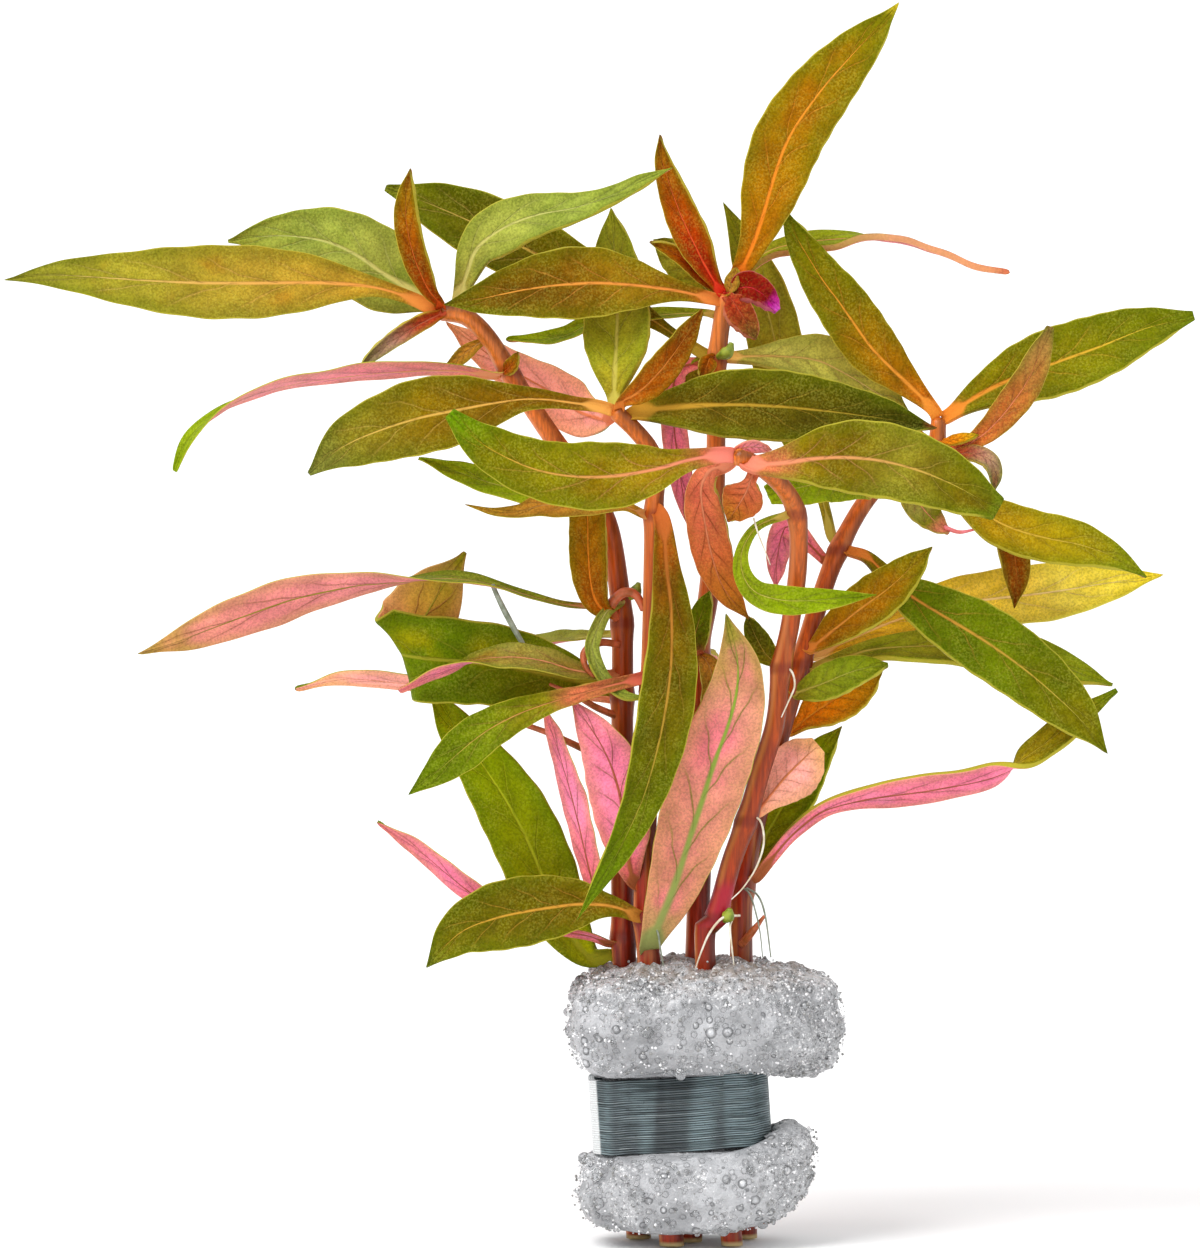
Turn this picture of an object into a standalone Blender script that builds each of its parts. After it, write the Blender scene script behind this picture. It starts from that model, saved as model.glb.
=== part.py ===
"""A weighted bunch of scarlet temple: five red-stemmed aquarium plants held at the foot.

The bunch stands on its cut ends. The frame's origin is the middle of the middle stem's
cut end, +Z is up, and the bunch is seen from -Y. Sizes below are in millimetres.
"""
import math

import bmesh
import bpy
from mathutils import Matrix, Vector

MM = 0.001

# Heights of the plants are given as they look from this far above level.
VIEW_TILT = math.radians(5.0)

# Clearance between touching pieces.
GAP = 0.35

# Stems
SPAN_STEPS = 14
STEM_SIDES = 10
STEM_TAPER_POWER = 1.5
STEM_RING_SPACING = 6.5
NODE_SWELLING = 0.16
NODE_REACH = 1.6
NODE_CLEARING = 0.4

# A leaf that starts this near the stem's end, in curve points, leaves it by its top, if
# it points upwards by at least this much
CROWN_POINTS = 4
CROWN_RISE = 0.2
SMALLEST_SQUARE = 1e-6

# Leaves
LEAF_THICKNESS = 0.7
THICK_AT_BASE = 1.15
THICKNESS_LOST_TO_TIP = 0.6
LANCE_SHAPE = (0.18, 0.36, 0.72, 0.94, 1.0, 0.88, 0.56, 0.0)
LEAF_STATIONS = (0.0, 0.07, 0.15, 0.24, 0.34, 0.44, 0.54, 0.64, 0.74, 0.84, 0.93)

# Foam sleeve round the stems
FOAM_SEGMENTS = 24
FOAM_SQUARENESS = 2.5
FOAM_SIDE_WEIGHT = 1.6
CHANNEL_TOP = 39.0
CHANNEL_START = 3.0
CHANNEL_RINGS = 9

# Lead weight band
BAND_HEIGHT = 9.0
BAND_THICKNESS = 0.8
BAND_MIDDLE_HEIGHT = 16.2
BAND_MIDDLE_X = -1.2
BAND_HALF_WIDTH = 10.9
BAND_HALF_DEPTH = 7.1
BAND_SQUARENESS = 3.4
BAND_LEAN = math.radians(3.8)
BAND_START = math.radians(75)
BAND_LAP_TURN = 0.13
BAND_RISE_TURN = 0.06
BAND_STEPS = 34

# Edges sharper than this stay sharp
SMOOTH_ANGLE = math.radians(50)

# How rough each finish is, and how metallic the lead is
STEM_ROUGHNESS = 0.5
LEAF_ROUGHNESS = 0.55
FOAM_ROUGHNESS = 0.9
LEAD_ROUGHNESS = 0.45
LEAD_METALLIC = 0.6

# Colours, as linear red, green and blue
COLOURS = {
    "stem": (0.40, 0.052, 0.008),
    "olive": (0.17, 0.16, 0.010),
    "dark_olive": (0.062, 0.072, 0.004),
    "green": (0.10, 0.21, 0.010),
    "bright_green": (0.20, 0.42, 0.022),
    "grey_green": (0.21, 0.27, 0.075),
    "gold": (0.62, 0.40, 0.022),
    "amber": (0.42, 0.15, 0.006),
    "red": (0.34, 0.045, 0.004),
    "brown": (0.26, 0.085, 0.015),
    "pink": (0.78, 0.19, 0.26),
    "salmon": (0.70, 0.30, 0.20),
    "foam": (0.43, 0.43, 0.45),
    "lead": (0.095, 0.125, 0.135),
}

# Each stem: its foot on the ground, the points it rises through as (x, depth, height),
# the radii of its foot and its top, and the heights of its nodes.
STEMS = {
    "stem_left": (
        (-6.2, 3.4),
        [(-8, 1.8, 34), (-8.2, 2, 60), (-8.2, 2.2, 74), (-8.7, 2.2, 80), (-10, 2.3, 87),
         (-12.7, 2.4, 92), (-16.6, 2.6, 97.4), (-19.7, 2.8, 102), (-22, 3, 105.6),
         (-24.4, 3, 109.5), (-27, 3, 112), (-30, 3, 112.6)],
        (1.5, 1.05),
        (37, 66, 75, 105.5),
    ),
    "stem_middle": (
        (-2.2, -4.4),
        [(-5, -2.4, 34), (-5.5, -2.2, 45), (-5, -2, 60), (-4.6, -2, 75), (-4.4, -2, 88),
         (-4.1, -2.6, 92), (-4.6, -3, 95.5), (-6.4, -3.6, 98), (-8.9, -4, 100.4)],
        (1.5, 1.0),
        (39, 67, 88),
    ),
    "stem_tall": (
        (0.0, 0.0),
        [(0.8, 2.2, 34), (1.3, 3.2, 50), (1.2, 4, 62), (1, 4.5, 71), (2.2, 4.6, 78),
         (2.8, 4.6, 85), (3.1, 4.6, 92), (3.2, 4.5, 100), (3.3, 4.4, 107),
         (4.3, 4.2, 114.5)],
        (1.5, 1.05),
        (71, 107),
    ),
    "stem_front": (
        (5.1, -4.2),
        [(1.8, -3.2, 34.5), (3.2, -3.4, 39.3), (5, -3.6, 46), (6.8, -3.8, 51),
         (8.5, -4, 57), (10.3, -4.2, 63), (11, -4.4, 69.5), (12.1, -4.8, 75),
         (13, -5.4, 82), (12.8, -6.4, 88), (11, -9, 91.5), (8, -12, 94),
         (5.6, -14, 95)],
        (1.3, 1.05),
        (39.3, 51, 69.5, 88),
    ),
    "stem_right": (
        (6.7, 3.6),
        [(6.2, 2, 34.5), (6.4, 2, 43), (7.9, 2.2, 51), (9.6, 2.6, 57), (11.6, 3, 64),
         (13.4, 3.4, 70), (15.5, 4, 77), (18, 5, 83.8), (21.5, 6, 90), (26, 7.2, 94.5),
         (29.6, 8, 96.3), (30.2, 8, 99.5)],
        (1.5, 0.95),
        (43, 70, 83.8, 96.3),
    ),
}

# Which way a leaf's upper side looks
TO_VIEW = [(0, -1, 0.35)]
AWAY = [(0, 1, 0.1)]


def lance(widest):
    """The widths of a plain lance-shaped leaf, evenly spaced from the stem to the tip."""
    return tuple(widest * part for part in LANCE_SHAPE)


# Each leaf: its stem, the points of its midrib from the stem to the tip as (x, depth,
# height), its widths evenly spaced along it, its colour, and which way its upper side
# looks, as one direction or as (share of the length, direction) pairs.
LEAVES = {
    "leaf_far_left_1": (
        "stem_left",
        [(-31, 2.2, 112.8), (-33.2, 2.2, 114), (-37.5, 1.8, 115.4), (-42.4, 1.2, 116),
         (-48, 0.4, 116.1), (-54.5, -0.8, 116), (-61.7, -2.2, 116.1), (-69, -3.6, 116.5),
         (-76.7, -5, 116.9), (-83, -6, 116.3)],
        (1.7, 2.4, 6.8, 9.3, 9, 6.8, 3.9, 0), "olive", TO_VIEW,
    ),
    "leaf_far_left_2": (
        "stem_left",
        [(-30.6, 4.8, 113.2), (-33.5, 5.6, 115.2), (-37, 6.4, 117.2), (-40, 7, 119.3),
         (-43.5, 7.4, 121), (-47.7, 7.5, 121.8), (-52, 7.4, 121.8), (-56, 7, 121.2)],
        (2, 7.6, 10, 9.8, 8.6, 6.4, 3.6, 0.4), "grey_green", TO_VIEW,
    ),
    "leaf_far_left_3": (
        "stem_left",
        [(-30.6, 1.4, 113.9), (-31.5, 0.4, 115), (-32.6, -0.2, 117.2), (-33.6, -0.6, 120),
         (-34.3, -0.8, 123.5), (-34.3, -1, 126.5), (-33.8, -1.2, 130)],
        (1.3, 2.2, 3, 3.2, 3.2, 2.8, 1.8, 0), "red", TO_VIEW,
    ),
    "leaf_far_left_4": (
        "stem_left",
        [(-28, 3.8, 114.2), (-27.1, 3.9, 117), (-25.7, 3.9, 120.4), (-22.5, 3.7, 122.8),
         (-18.6, 3.2, 124.3), (-13.8, 2.6, 125.2), (-9.4, 1.9, 126.7), (-6.1, 1.3, 128.3),
         (-1.9, 0.6, 130.1)],
        (1.6, 3.8, 6.4, 5.8, 4.1, 2.6, 1.8, 0), "grey_green", TO_VIEW,
    ),
    "leaf_far_left_5": (
        "stem_left",
        [(-23.2, 1.8, 104.9), (-26, 1.2, 105.3), (-30, 0.4, 105.6), (-36, -0.4, 105.4),
         (-42, -1.2, 104.8), (-48, -2, 103.9), (-53, -2.6, 102.4), (-57.5, -3, 99.9),
         (-60.5, -3, 97.2), (-62.2, -3, 93.2)],
        (1.4, 4.6, 6.6, 7.0, 6.4, 5.0, 3.4, 0.8), "pink",
        [(0, (0, 0.36, 1)), (0.6, (0, 0.3, 1)), (0.8, (-0.5, 0, 0.8)), (1, (-0.8, -0.6, 0.2))],
    ),
    "leaf_top_1": (
        "stem_tall",
        [(5.1, 3.6, 115.8), (7, 2.8, 119.4), (8.5, 2.2, 123.3), (9.9, 1.6, 128.1),
         (11.4, 1, 132.5), (13.3, 0.4, 135.9), (16.2, -0.2, 139.8), (19.1, -0.6, 143.1),
         (23, -1.2, 147.3), (25.3, -1.5, 150)],
        (1.8, 3.6, 6.8, 8.4, 8.2, 7, 4.4, 0), "olive", [(0.1, -1, 0.15)],
    ),
    "leaf_top_2": (
        "stem_tall",
        [(3.3, 3.2, 115.7), (1.9, 2.8, 118), (0.4, 2.6, 121), (-1, 2.6, 124),
         (-2.3, 2.6, 127.4), (-3.4, 2.6, 131), (-3.7, 2.6, 134.2)],
        (1.4, 2.8, 4.1, 4.3, 3.8, 3.0, 1.8, 0), "red", [(0.1, -1, 0.1)],
    ),
    "leaf_top_3": (
        "stem_tall",
        [(2.6, 3.2, 114.2), (-2, 1.6, 115.2), (-8, 0.4, 115.9), (-13, -0.4, 116),
         (-19, -0.8, 115.4), (-25, -1, 114.2), (-30, -1, 113.4)],
        (1.6, 2.8, 6.2, 8.8, 8.9, 7.0, 4.0, 0), "olive", TO_VIEW,
    ),
    "leaf_top_4": (
        "stem_tall",
        [(5.6, 5.4, 115.8), (7, 7, 118.2), (10, 8.4, 120.2), (13.5, 9, 121),
         (17, 9, 121.4), (21, 9, 121.6), (26, 8.6, 121), (31, 8, 119.5), (35, 7.2, 118),
         (38.8, 6.6, 117.4)],
        (1.4, 2.2, 4, 4.8, 4.4, 3.4, 2.2, 0.4), "green",
        [(0, (0, -0.6, 1)), (0.4, (0, -0.5, 1)), (0.55, (0, 0.25, 1)), (1, (0, 0.25, 1))],
    ),
    "leaf_top_5": (
        "stem_tall",
        [(4.9, 4.4, 107.2), (10, 6, 107.3), (15, 8, 106.9), (18.5, 9, 105.4),
         (22.5, 9.8, 103), (27, 10.5, 100.2)],
        (1.4, 2.4, 4.6, 6.4, 7.4, 6.6, 4.2, 0), "grey_green", TO_VIEW,
    ),
    "leaf_top_6": (
        "stem_tall",
        [(1.9, 5, 107.4), (-1.5, 6, 109.6), (-6, 7.5, 112.6), (-12, 9, 116.2),
         (-19, 10, 119.9), (-26, 10.8, 123.4), (-32, 11.2, 126), (-37, 11.5, 127.8)],
        (1.6, 1.6, 4.4, 7.2, 8.6, 8.4, 6, 0.8), "dark_olive", TO_VIEW,
    ),
    "leaf_middle_1": (
        "stem_middle",
        [(-10.8, -4.4, 101.1), (-13.3, -4.8, 101.4), (-18.6, -5.4, 102), (-23, -6, 101.6),
         (-27.8, -6.8, 100.7), (-32.2, -7.4, 99.8), (-36.8, -8, 98.4), (-41.9, -8.6, 96.2),
         (-46, -9, 92.9)],
        (1.6, 2, 4, 8, 9.6, 8.4, 6, 0.6), "olive", TO_VIEW,
    ),
    "leaf_middle_2": (
        "stem_middle",
        [(-8.2, -5.2, 101.8), (-6.4, -5.9, 102.8), (-4.4, -6, 104.6), (-2.4, -5.6, 107),
         (-0.6, -5, 109.6), (1.4, -4.2, 113)],
        (1.4, 3.2, 4.2, 4.3, 4.0, 3.2, 2.0, 0), "brown", [(0.4, -1, -0.2)],
    ),
    "leaf_middle_3": (
        "stem_middle",
        [(-7.2, -4, 100.3), (-3, -4.2, 100.9), (3, -4.6, 101.3), (9, -4.6, 101.2),
         (15, -4.4, 100.7), (20, -4, 100.1), (25, -3.4, 99.4), (30, -2.8, 98.5)],
        (1.7, 5.0, 8.2, 9.1, 8.4, 6.8, 4.2, 0), "dark_olive", TO_VIEW,
    ),
    "leaf_middle_4": (
        "stem_middle",
        [(-9.2, -2.6, 102), (-9.1, -0.8, 105.5), (-8.9, 1.6, 109), (-8.8, 3.2, 113),
         (-9, 4.4, 118), (-9.6, 5, 125.4)],
        (1.6, 5.2, 7.8, 8.2, 7.4, 5.8, 3.6, 0), "green", [(-0.1, -1, 0.1)],
    ),
    "leaf_middle_5": (
        "stem_middle",
        [(-10, -2.6, 99.6), (-11.2, 0.6, 99.8), (-13.8, 4.6, 100.8), (-17.2, 6.4, 103.2),
         (-21.1, 7, 105.4), (-24.5, 7, 107.6), (-29.7, 6.8, 111.6)],
        (1.4, 4.2, 6.4, 6.2, 5.2, 4.2, 2.8, 0), "pink", AWAY,
    ),
    "leaf_left_1": (
        "stem_left",
        [(-9.8, 2.2, 76.8), (-14.7, 1.4, 77), (-19.2, 0.4, 78.1), (-23.7, -1, 79.5),
         (-27.8, -1.6, 80.2), (-31.5, -2.2, 80.3), (-35.1, -2.4, 80), (-39.6, -2.6, 79.7),
         (-44.2, -2.6, 78.8), (-48.7, -2.6, 77.7), (-53.2, -2.6, 76.1),
         (-57.8, -2.7, 74.4), (-62.5, -2.9, 72.6), (-67, -3, 71.2)],
        (1.2, 1.4, 3.4, 4.6, 5, 6, 4.4, 0), "pink",
        [(0, (0, -0.2, 1)), (0.33, (0, -0.3, 1)), (0.5, (0, 0.6, 0.9)), (0.67, (0, 1, 0.5)),
         (1, (0, 1, 0.4))],
    ),
    "leaf_left_2": (
        "stem_left",
        [(-9.8, 3, 67), (-14, 2.6, 68.2), (-20, 1.8, 69.4), (-26, 0.8, 70.2),
         (-31, 0.6, 70.6), (-34.2, 1.2, 71), (-35, 2.6, 71.4), (-34.2, 4.2, 72.4),
         (-32, 5, 76), (-29.8, 5.4, 79.6), (-27.2, 5.6, 83.6)],
        (1.8, 6.4, 9.4, 10.4, 10.6, 10.4, 7.2, 0.4), "green",
        [(0, (0, -1, 0.2)), (0.59, (0, -1, 0.1)), (0.634, (-0.86, 0, -0.5)),
         (0.68, (0, 1, 0)), (1, (0, 1, 0))],
    ),
    "leaf_left_3": (
        "stem_left",
        [(-10, 0.2, 68.6), (-14, -1.2, 69.2), (-18, -1.9, 70.4), (-22, -2.2, 70.8),
         (-26, -2.2, 70.4), (-31, -2.6, 68.8), (-35.3, -2.8, 66.8)],
        (1.2, 2.8, 4.2, 4.4, 3.8, 3.0, 2.2, 0.6), "brown",
        [(0, (0, -0.7, 0.8)), (0.5, (0, -0.6, 0.8)), (0.8, (0, 0.5, 0.9)), (1, (0, 0.5, 0.9))],
    ),
    "leaf_left_4": (
        "stem_left",
        [(-9.4, 4.4, 65.8), (-18, 7, 66.8), (-26, 8.2, 67.4), (-35, 8.6, 67.8),
         (-42, 8, 68.3), (-48, 7, 67)],
        (1.3, 1.6, 3.0, 4.4, 4.6, 4.2, 3.2, 0.4), "pink", [(0, 0.5, 0.9)],
    ),
    "leaf_left_5": (
        "stem_middle",
        [(-6.2, -3.4, 68.2), (-10, -4.2, 67.3), (-14, -4.6, 66.2), (-18, -4.8, 65),
         (-22, -5, 63.4), (-25.5, -5, 61.3), (-28.5, -5, 58.8), (-31.5, -5, 56.2),
         (-34.2, -5, 54.1)],
        (1.6, 1.8, 2.4, 3.6, 5.0, 5.6, 3.6, 0), "green", [(0, -1, 0.4)],
    ),
    "leaf_left_6": (
        "stem_left",
        [(-9.8, 1.8, 34.9), (-11.4, 2, 34.2), (-12.8, 2.2, 34.9), (-14.6, 2.4, 37.4),
         (-16.6, 2.7, 41), (-18.6, 3, 46), (-20.9, 3.4, 51), (-24.2, 3.8, 56.4),
         (-28.6, 4.2, 62.5), (-32, 4.4, 68)],
        (1.6, 4, 7.8, 8.7, 8.3, 6.6, 4.2, 0), "bright_green", [(0.1, -1, 0.2)],
    ),
    "leaf_left_7": (
        "stem_left",
        [(-9.8, 0.2, 36.2), (-12, -1, 37.1), (-16, -1.8, 37.9), (-21, -2.2, 39.4),
         (-26.6, -2.4, 42.5), (-32.6, -2.4, 47.4), (-38, -2.4, 51.1)],
        (1.1, 1.2, 1.8, 2.8, 3.6, 3.4, 2.2, 0), "pink", [(0.5, 0.8, 0.6)],
    ),
    "leaf_left_8": (
        "stem_middle",
        [(-6.2, -3.6, 39.4), (-9, -4.8, 40.6), (-13, -5.4, 41), (-18, -5.8, 40.4),
         (-23.5, -6.2, 39.3), (-28, -6.4, 37.4), (-32, -6.6, 33.2)],
        (1.6, 2.8, 6.4, 8.4, 8.8, 7.4, 4.4, 0), "dark_olive", TO_VIEW,
    ),
    "leaf_left_9": (
        "stem_left",
        [(-9.6, 0, 76.2), (-11, -1.2, 77), (-11.9, -1.8, 79.2), (-12.3, -1.8, 83),
         (-12.4, -1.6, 88), (-12.7, -1.2, 95)],
        (1.4, 3.2, 4.3, 4.7, 4.6, 4.2, 3.0, 0), "amber", [(-0.1, -1, 0)],
    ),
    "leaf_left_10": (
        "stem_middle",
        [(-5.6, -2.8, 91.2), (-10, -3.6, 90.8), (-15, -4, 90.6), (-19, -4.4, 90.8),
         (-24, -4.8, 91.8), (-28.5, -5, 93.3), (-33, -5.2, 94.9)],
        (1.4, 2.0, 3.8, 4.8, 4.8, 4.0, 2.4, 0), "bright_green", [(0, -0.8, 0.9)],
    ),
    "leaf_left_11": (
        "stem_middle",
        [(-5.7, -2.8, 88), (-8, -5.6, 89), (-11, -9, 89.3), (-14.5, -9.8, 89.3),
         (-18, -10.2, 89.1), (-21, -10.4, 88.3), (-24, -10.4, 88.4), (-27.3, -10.4, 89.3)],
        (1.2, 1.4, 2.4, 3.8, 3.6, 2, 1, 0), "amber", [(0, -0.9, 0.6)],
    ),
    "leaf_front_1": (
        "stem_front",
        [(4, -14.8, 95.2), (0, -15.4, 94.6), (-4, -16, 93.5), (-8.5, -16.6, 92.7),
         (-13, -17.2, 92.5), (-18, -17.8, 93.2), (-22.5, -18.2, 95), (-26, -18.4, 97.2),
         (-29, -18.5, 100.2)],
        (2.0, 3.2, 7.0, 8.6, 8.0, 6.8, 5.0, 1.6), "olive", TO_VIEW,
    ),
    "leaf_front_2": (
        "stem_front",
        [(7.4, -14.8, 94), (11, -15.8, 94.2), (16, -16.4, 94.8), (21, -17, 94.7),
         (26, -17.6, 93.7), (31, -18, 91.8), (37, -18.4, 88.6)],
        (2.2, 4.4, 7.8, 9.4, 9.4, 8.2, 6.2, 3.0), "olive", TO_VIEW,
    ),
    "leaf_front_3": (
        "stem_front",
        [(7.2, -12.6, 92.2), (6.8, -12, 91), (5.9, -11.4, 89.4), (4.4, -11, 87.2)],
        (1.4, 2.6, 4.4, 5.2, 4.8, 3.8, 2.2, 0), "brown", AWAY,
    ),
    "leaf_front_4": (
        "stem_front",
        [(4.2, -13.2, 93.8), (2.4, -12, 93.4), (1.3, -10.4, 91), (1.9, -9, 86.5),
         (2.8, -8.2, 82.5), (4.2, -7.8, 79), (7.2, -7.2, 75.3)],
        (1.5, 2.8, 4.4, 5.2, 5.2, 4.4, 2.8, 0), "red", [(0.3, 1, 0.1)],
    ),
    "leaf_front_5": (
        "stem_front",
        [(11.4, -7.4, 87.9), (9.4, -9, 87.3), (7.6, -10, 86.2), (6.2, -10.4, 83.6),
         (6.3, -10.6, 80.8), (8, -10.6, 78.6), (11.5, -10.2, 77.7), (16, -9.6, 77.8),
         (22.7, -8.8, 78.4)],
        (1.0, 1.1, 1.7, 2.7, 3.6, 3.1, 1.8, 0), "bright_green", [(-0.1, -1, 0.1)],
    ),
    "leaf_low_1": (
        "stem_left",
        [(-9.8, 0, 40), (-11.2, -1.2, 42), (-12.3, -1.8, 46), (-13.7, -2.2, 52),
         (-15.5, -2.4, 58.5), (-17.8, -2.4, 65.5)],
        (1.2, 2.6, 3.8, 4.4, 4.2, 3.4, 2.2, 0), "pink", [(0.8, 0.7, 0)],
    ),
    "leaf_low_2": (
        "stem_middle",
        [(-6.7, -3.1, 43.4), (-7.4, -4.4, 46), (-7.9, -5, 50), (-8.7, -5, 55),
         (-10.6, -4.6, 60), (-14.5, -3.6, 66)],
        (1.5, 4, 6.4, 7.4, 7.2, 5.6, 3.2, 0), "pink", AWAY,
    ),
    "leaf_low_3": (
        "stem_middle",
        [(-3.7, -3.9, 88.4), (-3.2, -5.4, 86), (-2.9, -7.6, 82), (-2.3, -9.6, 76),
         (-2.4, -11.2, 69.5), (-3.4, -12.2, 62.5), (-5.4, -12.6, 54.8),
         (-8.2, -12.2, 48.4), (-10.8, -11.4, 44), (-13.9, -10.4, 38.8)],
        (2, 3.4, 5.6, 6.8, 6.2, 4.4, 2.4, 0), "dark_olive", [(0.05, -1, 0.1)],
    ),
    "leaf_low_4": (
        "stem_middle",
        [(-5, -4.2, 35.6), (-3.8, -5.6, 38.6), (-2, -6.6, 43), (-0.2, -7.4, 48.6),
         (1.4, -8, 53.5), (3, -8.4, 58.5), (4.6, -8.8, 62.8), (5.6, -9.4, 67),
         (5.6, -10.2, 71), (4.2, -11.6, 76.4)],
        (2.4, 5.6, 7.8, 9.2, 9.4, 8, 5, 0), "salmon", [(-0.1, 1, 0.1)],
    ),
    "leaf_right_1": (
        "stem_right",
        [(29.4, 7.4, 101), (25.4, 6.4, 104.9), (22, 5.6, 108.3), (18.2, 4.8, 113.6),
         (15.7, 4.4, 117), (12.8, 3.8, 121.8), (11.1, 3.6, 125.4)],
        (1.7, 3.6, 6.2, 6.9, 6.5, 5.1, 3.2, 0.3), "olive", TO_VIEW,
    ),
    "leaf_right_2": (
        "stem_right",
        [(31.6, 8, 100.3), (35, 8.4, 102.6), (40, 8.8, 105), (44.5, 9.2, 106.6),
         (50, 9.6, 108.6), (55, 10, 110.6), (61.2, 10.4, 112.3)],
        (1.7, 4.2, 7.2, 8.6, 8.4, 7, 4.6, 1.2), "green", TO_VIEW,
    ),
    "leaf_right_3": (
        "stem_right",
        [(31.2, 7.2, 95.8), (34, 6.6, 96.8), (36.6, 5.6, 98.8), (39, 4.8, 101.6),
         (41.2, 4, 105), (43.6, 3.2, 110.9)],
        (1.3, 2, 3, 3.8, 4.2, 3.8, 2.8, 1), "brown", [(0.3, -1, 0.2)],
    ),
    "leaf_right_4": (
        "stem_right",
        [(26.6, 5.6, 93.4), (30, 4.6, 92), (33.5, 3.2, 89.9), (36.6, 2, 87.6),
         (39.9, 1.2, 86.1), (43.8, 0.4, 85.1), (47.7, -0.4, 84.3), (52, -1, 82.6),
         (55.2, -1.4, 80.5)],
        (1.4, 2, 4.2, 6, 6.2, 5.6, 3.2, 0.2), "olive", TO_VIEW,
    ),
    "leaf_right_5": (
        "stem_right",
        [(14.9, 4.8, 71), (18, 6.4, 72.3), (24, 8, 74.9), (30, 8.8, 76.8), (36, 9, 77.8),
         (43, 9, 78.6), (50, 9, 79.7), (57.8, 9, 80.9)],
        (1.4, 2.2, 4.4, 6.6, 7.2, 7, 4.4, 0), "gold", TO_VIEW,
    ),
    "leaf_right_6": (
        "stem_right",
        [(19.3, 4.2, 83.7), (21.5, 3.2, 83), (24, 2, 80.5), (26.5, 1, 78.4), (30, 0, 76.2),
         (35, -1, 73.2), (40, -2, 69.7), (44.5, -2.8, 65.9), (48, -3.4, 62.4),
         (50.6, -4, 59)],
        (1.3, 2.4, 6, 8.2, 8.6, 7.6, 5.2, 0), "green", TO_VIEW,
    ),
    "leaf_right_7": (
        "stem_right",
        [(14.6, 2.2, 71.9), (17, 1, 73.8), (20.5, 0, 76.6), (24.5, -1.2, 79.6),
         (29.3, -2.4, 84.3)],
        (1.4, 3.2, 4.8, 5.8, 5.8, 4.8, 3.0, 0), "amber", TO_VIEW,
    ),
    "leaf_right_8": (
        "stem_right",
        [(14.8, 3.4, 69.5), (18, 3.8, 70.5), (22, 4.4, 71.7), (27, 4.8, 72.1),
         (32, 5, 72.1), (38, 5, 71.4), (44, 4.8, 70), (51.5, 4.4, 67.4)],
        (1.4, 2.6, 4.0, 5.4, 6.2, 6.0, 4.2, 0), "green", [(0, -0.8, 0.7)],
    ),
    "leaf_right_9": (
        "stem_right",
        [(12.2, 4, 61.8), (14.5, 5.2, 63.6), (18, 6.2, 66), (23.5, 7, 69.3)],
        lance(6.2), "amber", TO_VIEW,
    ),
    "leaf_right_10": (
        "stem_right",
        [(8, 3.4, 45.8), (9, 4.8, 48.5), (10.9, 5.8, 52), (13.1, 6.6, 55.5),
         (15.4, 7.2, 58.8), (18.6, 7.6, 62.6)],
        (1.4, 4.4, 6, 6.4, 6, 4.6, 2.6, 0), "bright_green", TO_VIEW,
    ),
    "leaf_right_11": (
        "stem_front",
        [(8.2, -2.8, 52.2), (9.8, -2.2, 54.2), (11.6, -1.9, 56.4), (13.6, -1.6, 58.4),
         (15.6, -1.3, 60.2)],
        (1.5, 2.6, 4.4, 6.0, 6.8, 6.4, 5.2, 2.0), "salmon", [(0.3, 1, 0)],
    ),
    "leaf_right_12": (
        "stem_right",
        [(7.8, 1, 43.8), (10, 0, 46.6), (12.4, -0.5, 49.4), (16, -0.9, 52.2),
         (20, -1.2, 53.4), (24, -1.2, 54.1), (28, -1.2, 54.6), (31.5, -1.2, 55.2),
         (35.1, -1.1, 55.9), (38.3, -0.9, 57), (40.8, -0.8, 58.8), (43.8, -0.6, 61),
         (47.3, -0.2, 63.8), (51.7, 0.2, 66.9)],
        (1.5, 1.8, 2.8, 4.4, 4.2, 3.8, 3.6, 0.6), "pink",
        [(0, (0, 0.9, 0.6)), (0.64, (0, 0.9, 0.6)), (0.76, (0.1, -0.8, 0.7)),
         (1, (0.3, -1, 0.4))],
    ),
    "leaf_right_13": (
        "stem_right",
        [(21.6, 4.4, 90.6), (19.4, 2, 91.4), (16, -0.6, 91.8), (12.6, -3, 91.2),
         (9.3, -5, 90.4)],
        (1.4, 2.6, 4.0, 4.8, 5.0, 4.8, 4.0, 2.6), "bright_green", TO_VIEW,
    ),
    "leaf_back_1": (
        "stem_right",
        [(17.2, 6.4, 85.2), (16.6, 7.2, 88), (15.4, 8.4, 92), (13, 9.8, 97),
         (11.3, 10.6, 102), (10.6, 11, 108), (8.8, 11.2, 115), (6.5, 11.2, 121),
         (3.9, 10.8, 126.3)],
        (1.3, 1.4, 3.2, 5.6, 6.8, 6.2, 3.8, 0), "green", [(-0.1, -1, 0.2)],
    ),
    "leaf_back_2": (
        "stem_tall",
        [(4, 6.4, 100.6), (7, 13, 101.2), (12, 22, 101.6), (17, 31, 101.4), (21, 39, 100.6)],
        lance(8.4), "olive", [(0, -0.35, 1)],
    ),
    "leaf_back_3": (
        "stem_left",
        [(-9.4, 4.4, 73.4), (-14, 11, 73), (-20, 19, 72), (-26, 28, 71), (-31, 37, 69.6)],
        lance(8.8), "green", [(0, -0.35, 1)],
    ),
    "leaf_back_4": (
        "stem_tall",
        [(1.2, 6.6, 71.6), (0.4, 13, 71), (-0.6, 22, 69.4), (-1.6, 31, 66)],
        lance(8.0), "olive", [(0, -0.4, 1)],
    ),
}

# Leaves that are folded up along the midrib more than the rest
CUPPED_LEAVES = {"leaf_right_11": 0.7, "leaf_top_2": 0.35, "leaf_far_left_3": 0.35}
USUAL_CUP = 0.12

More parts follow.
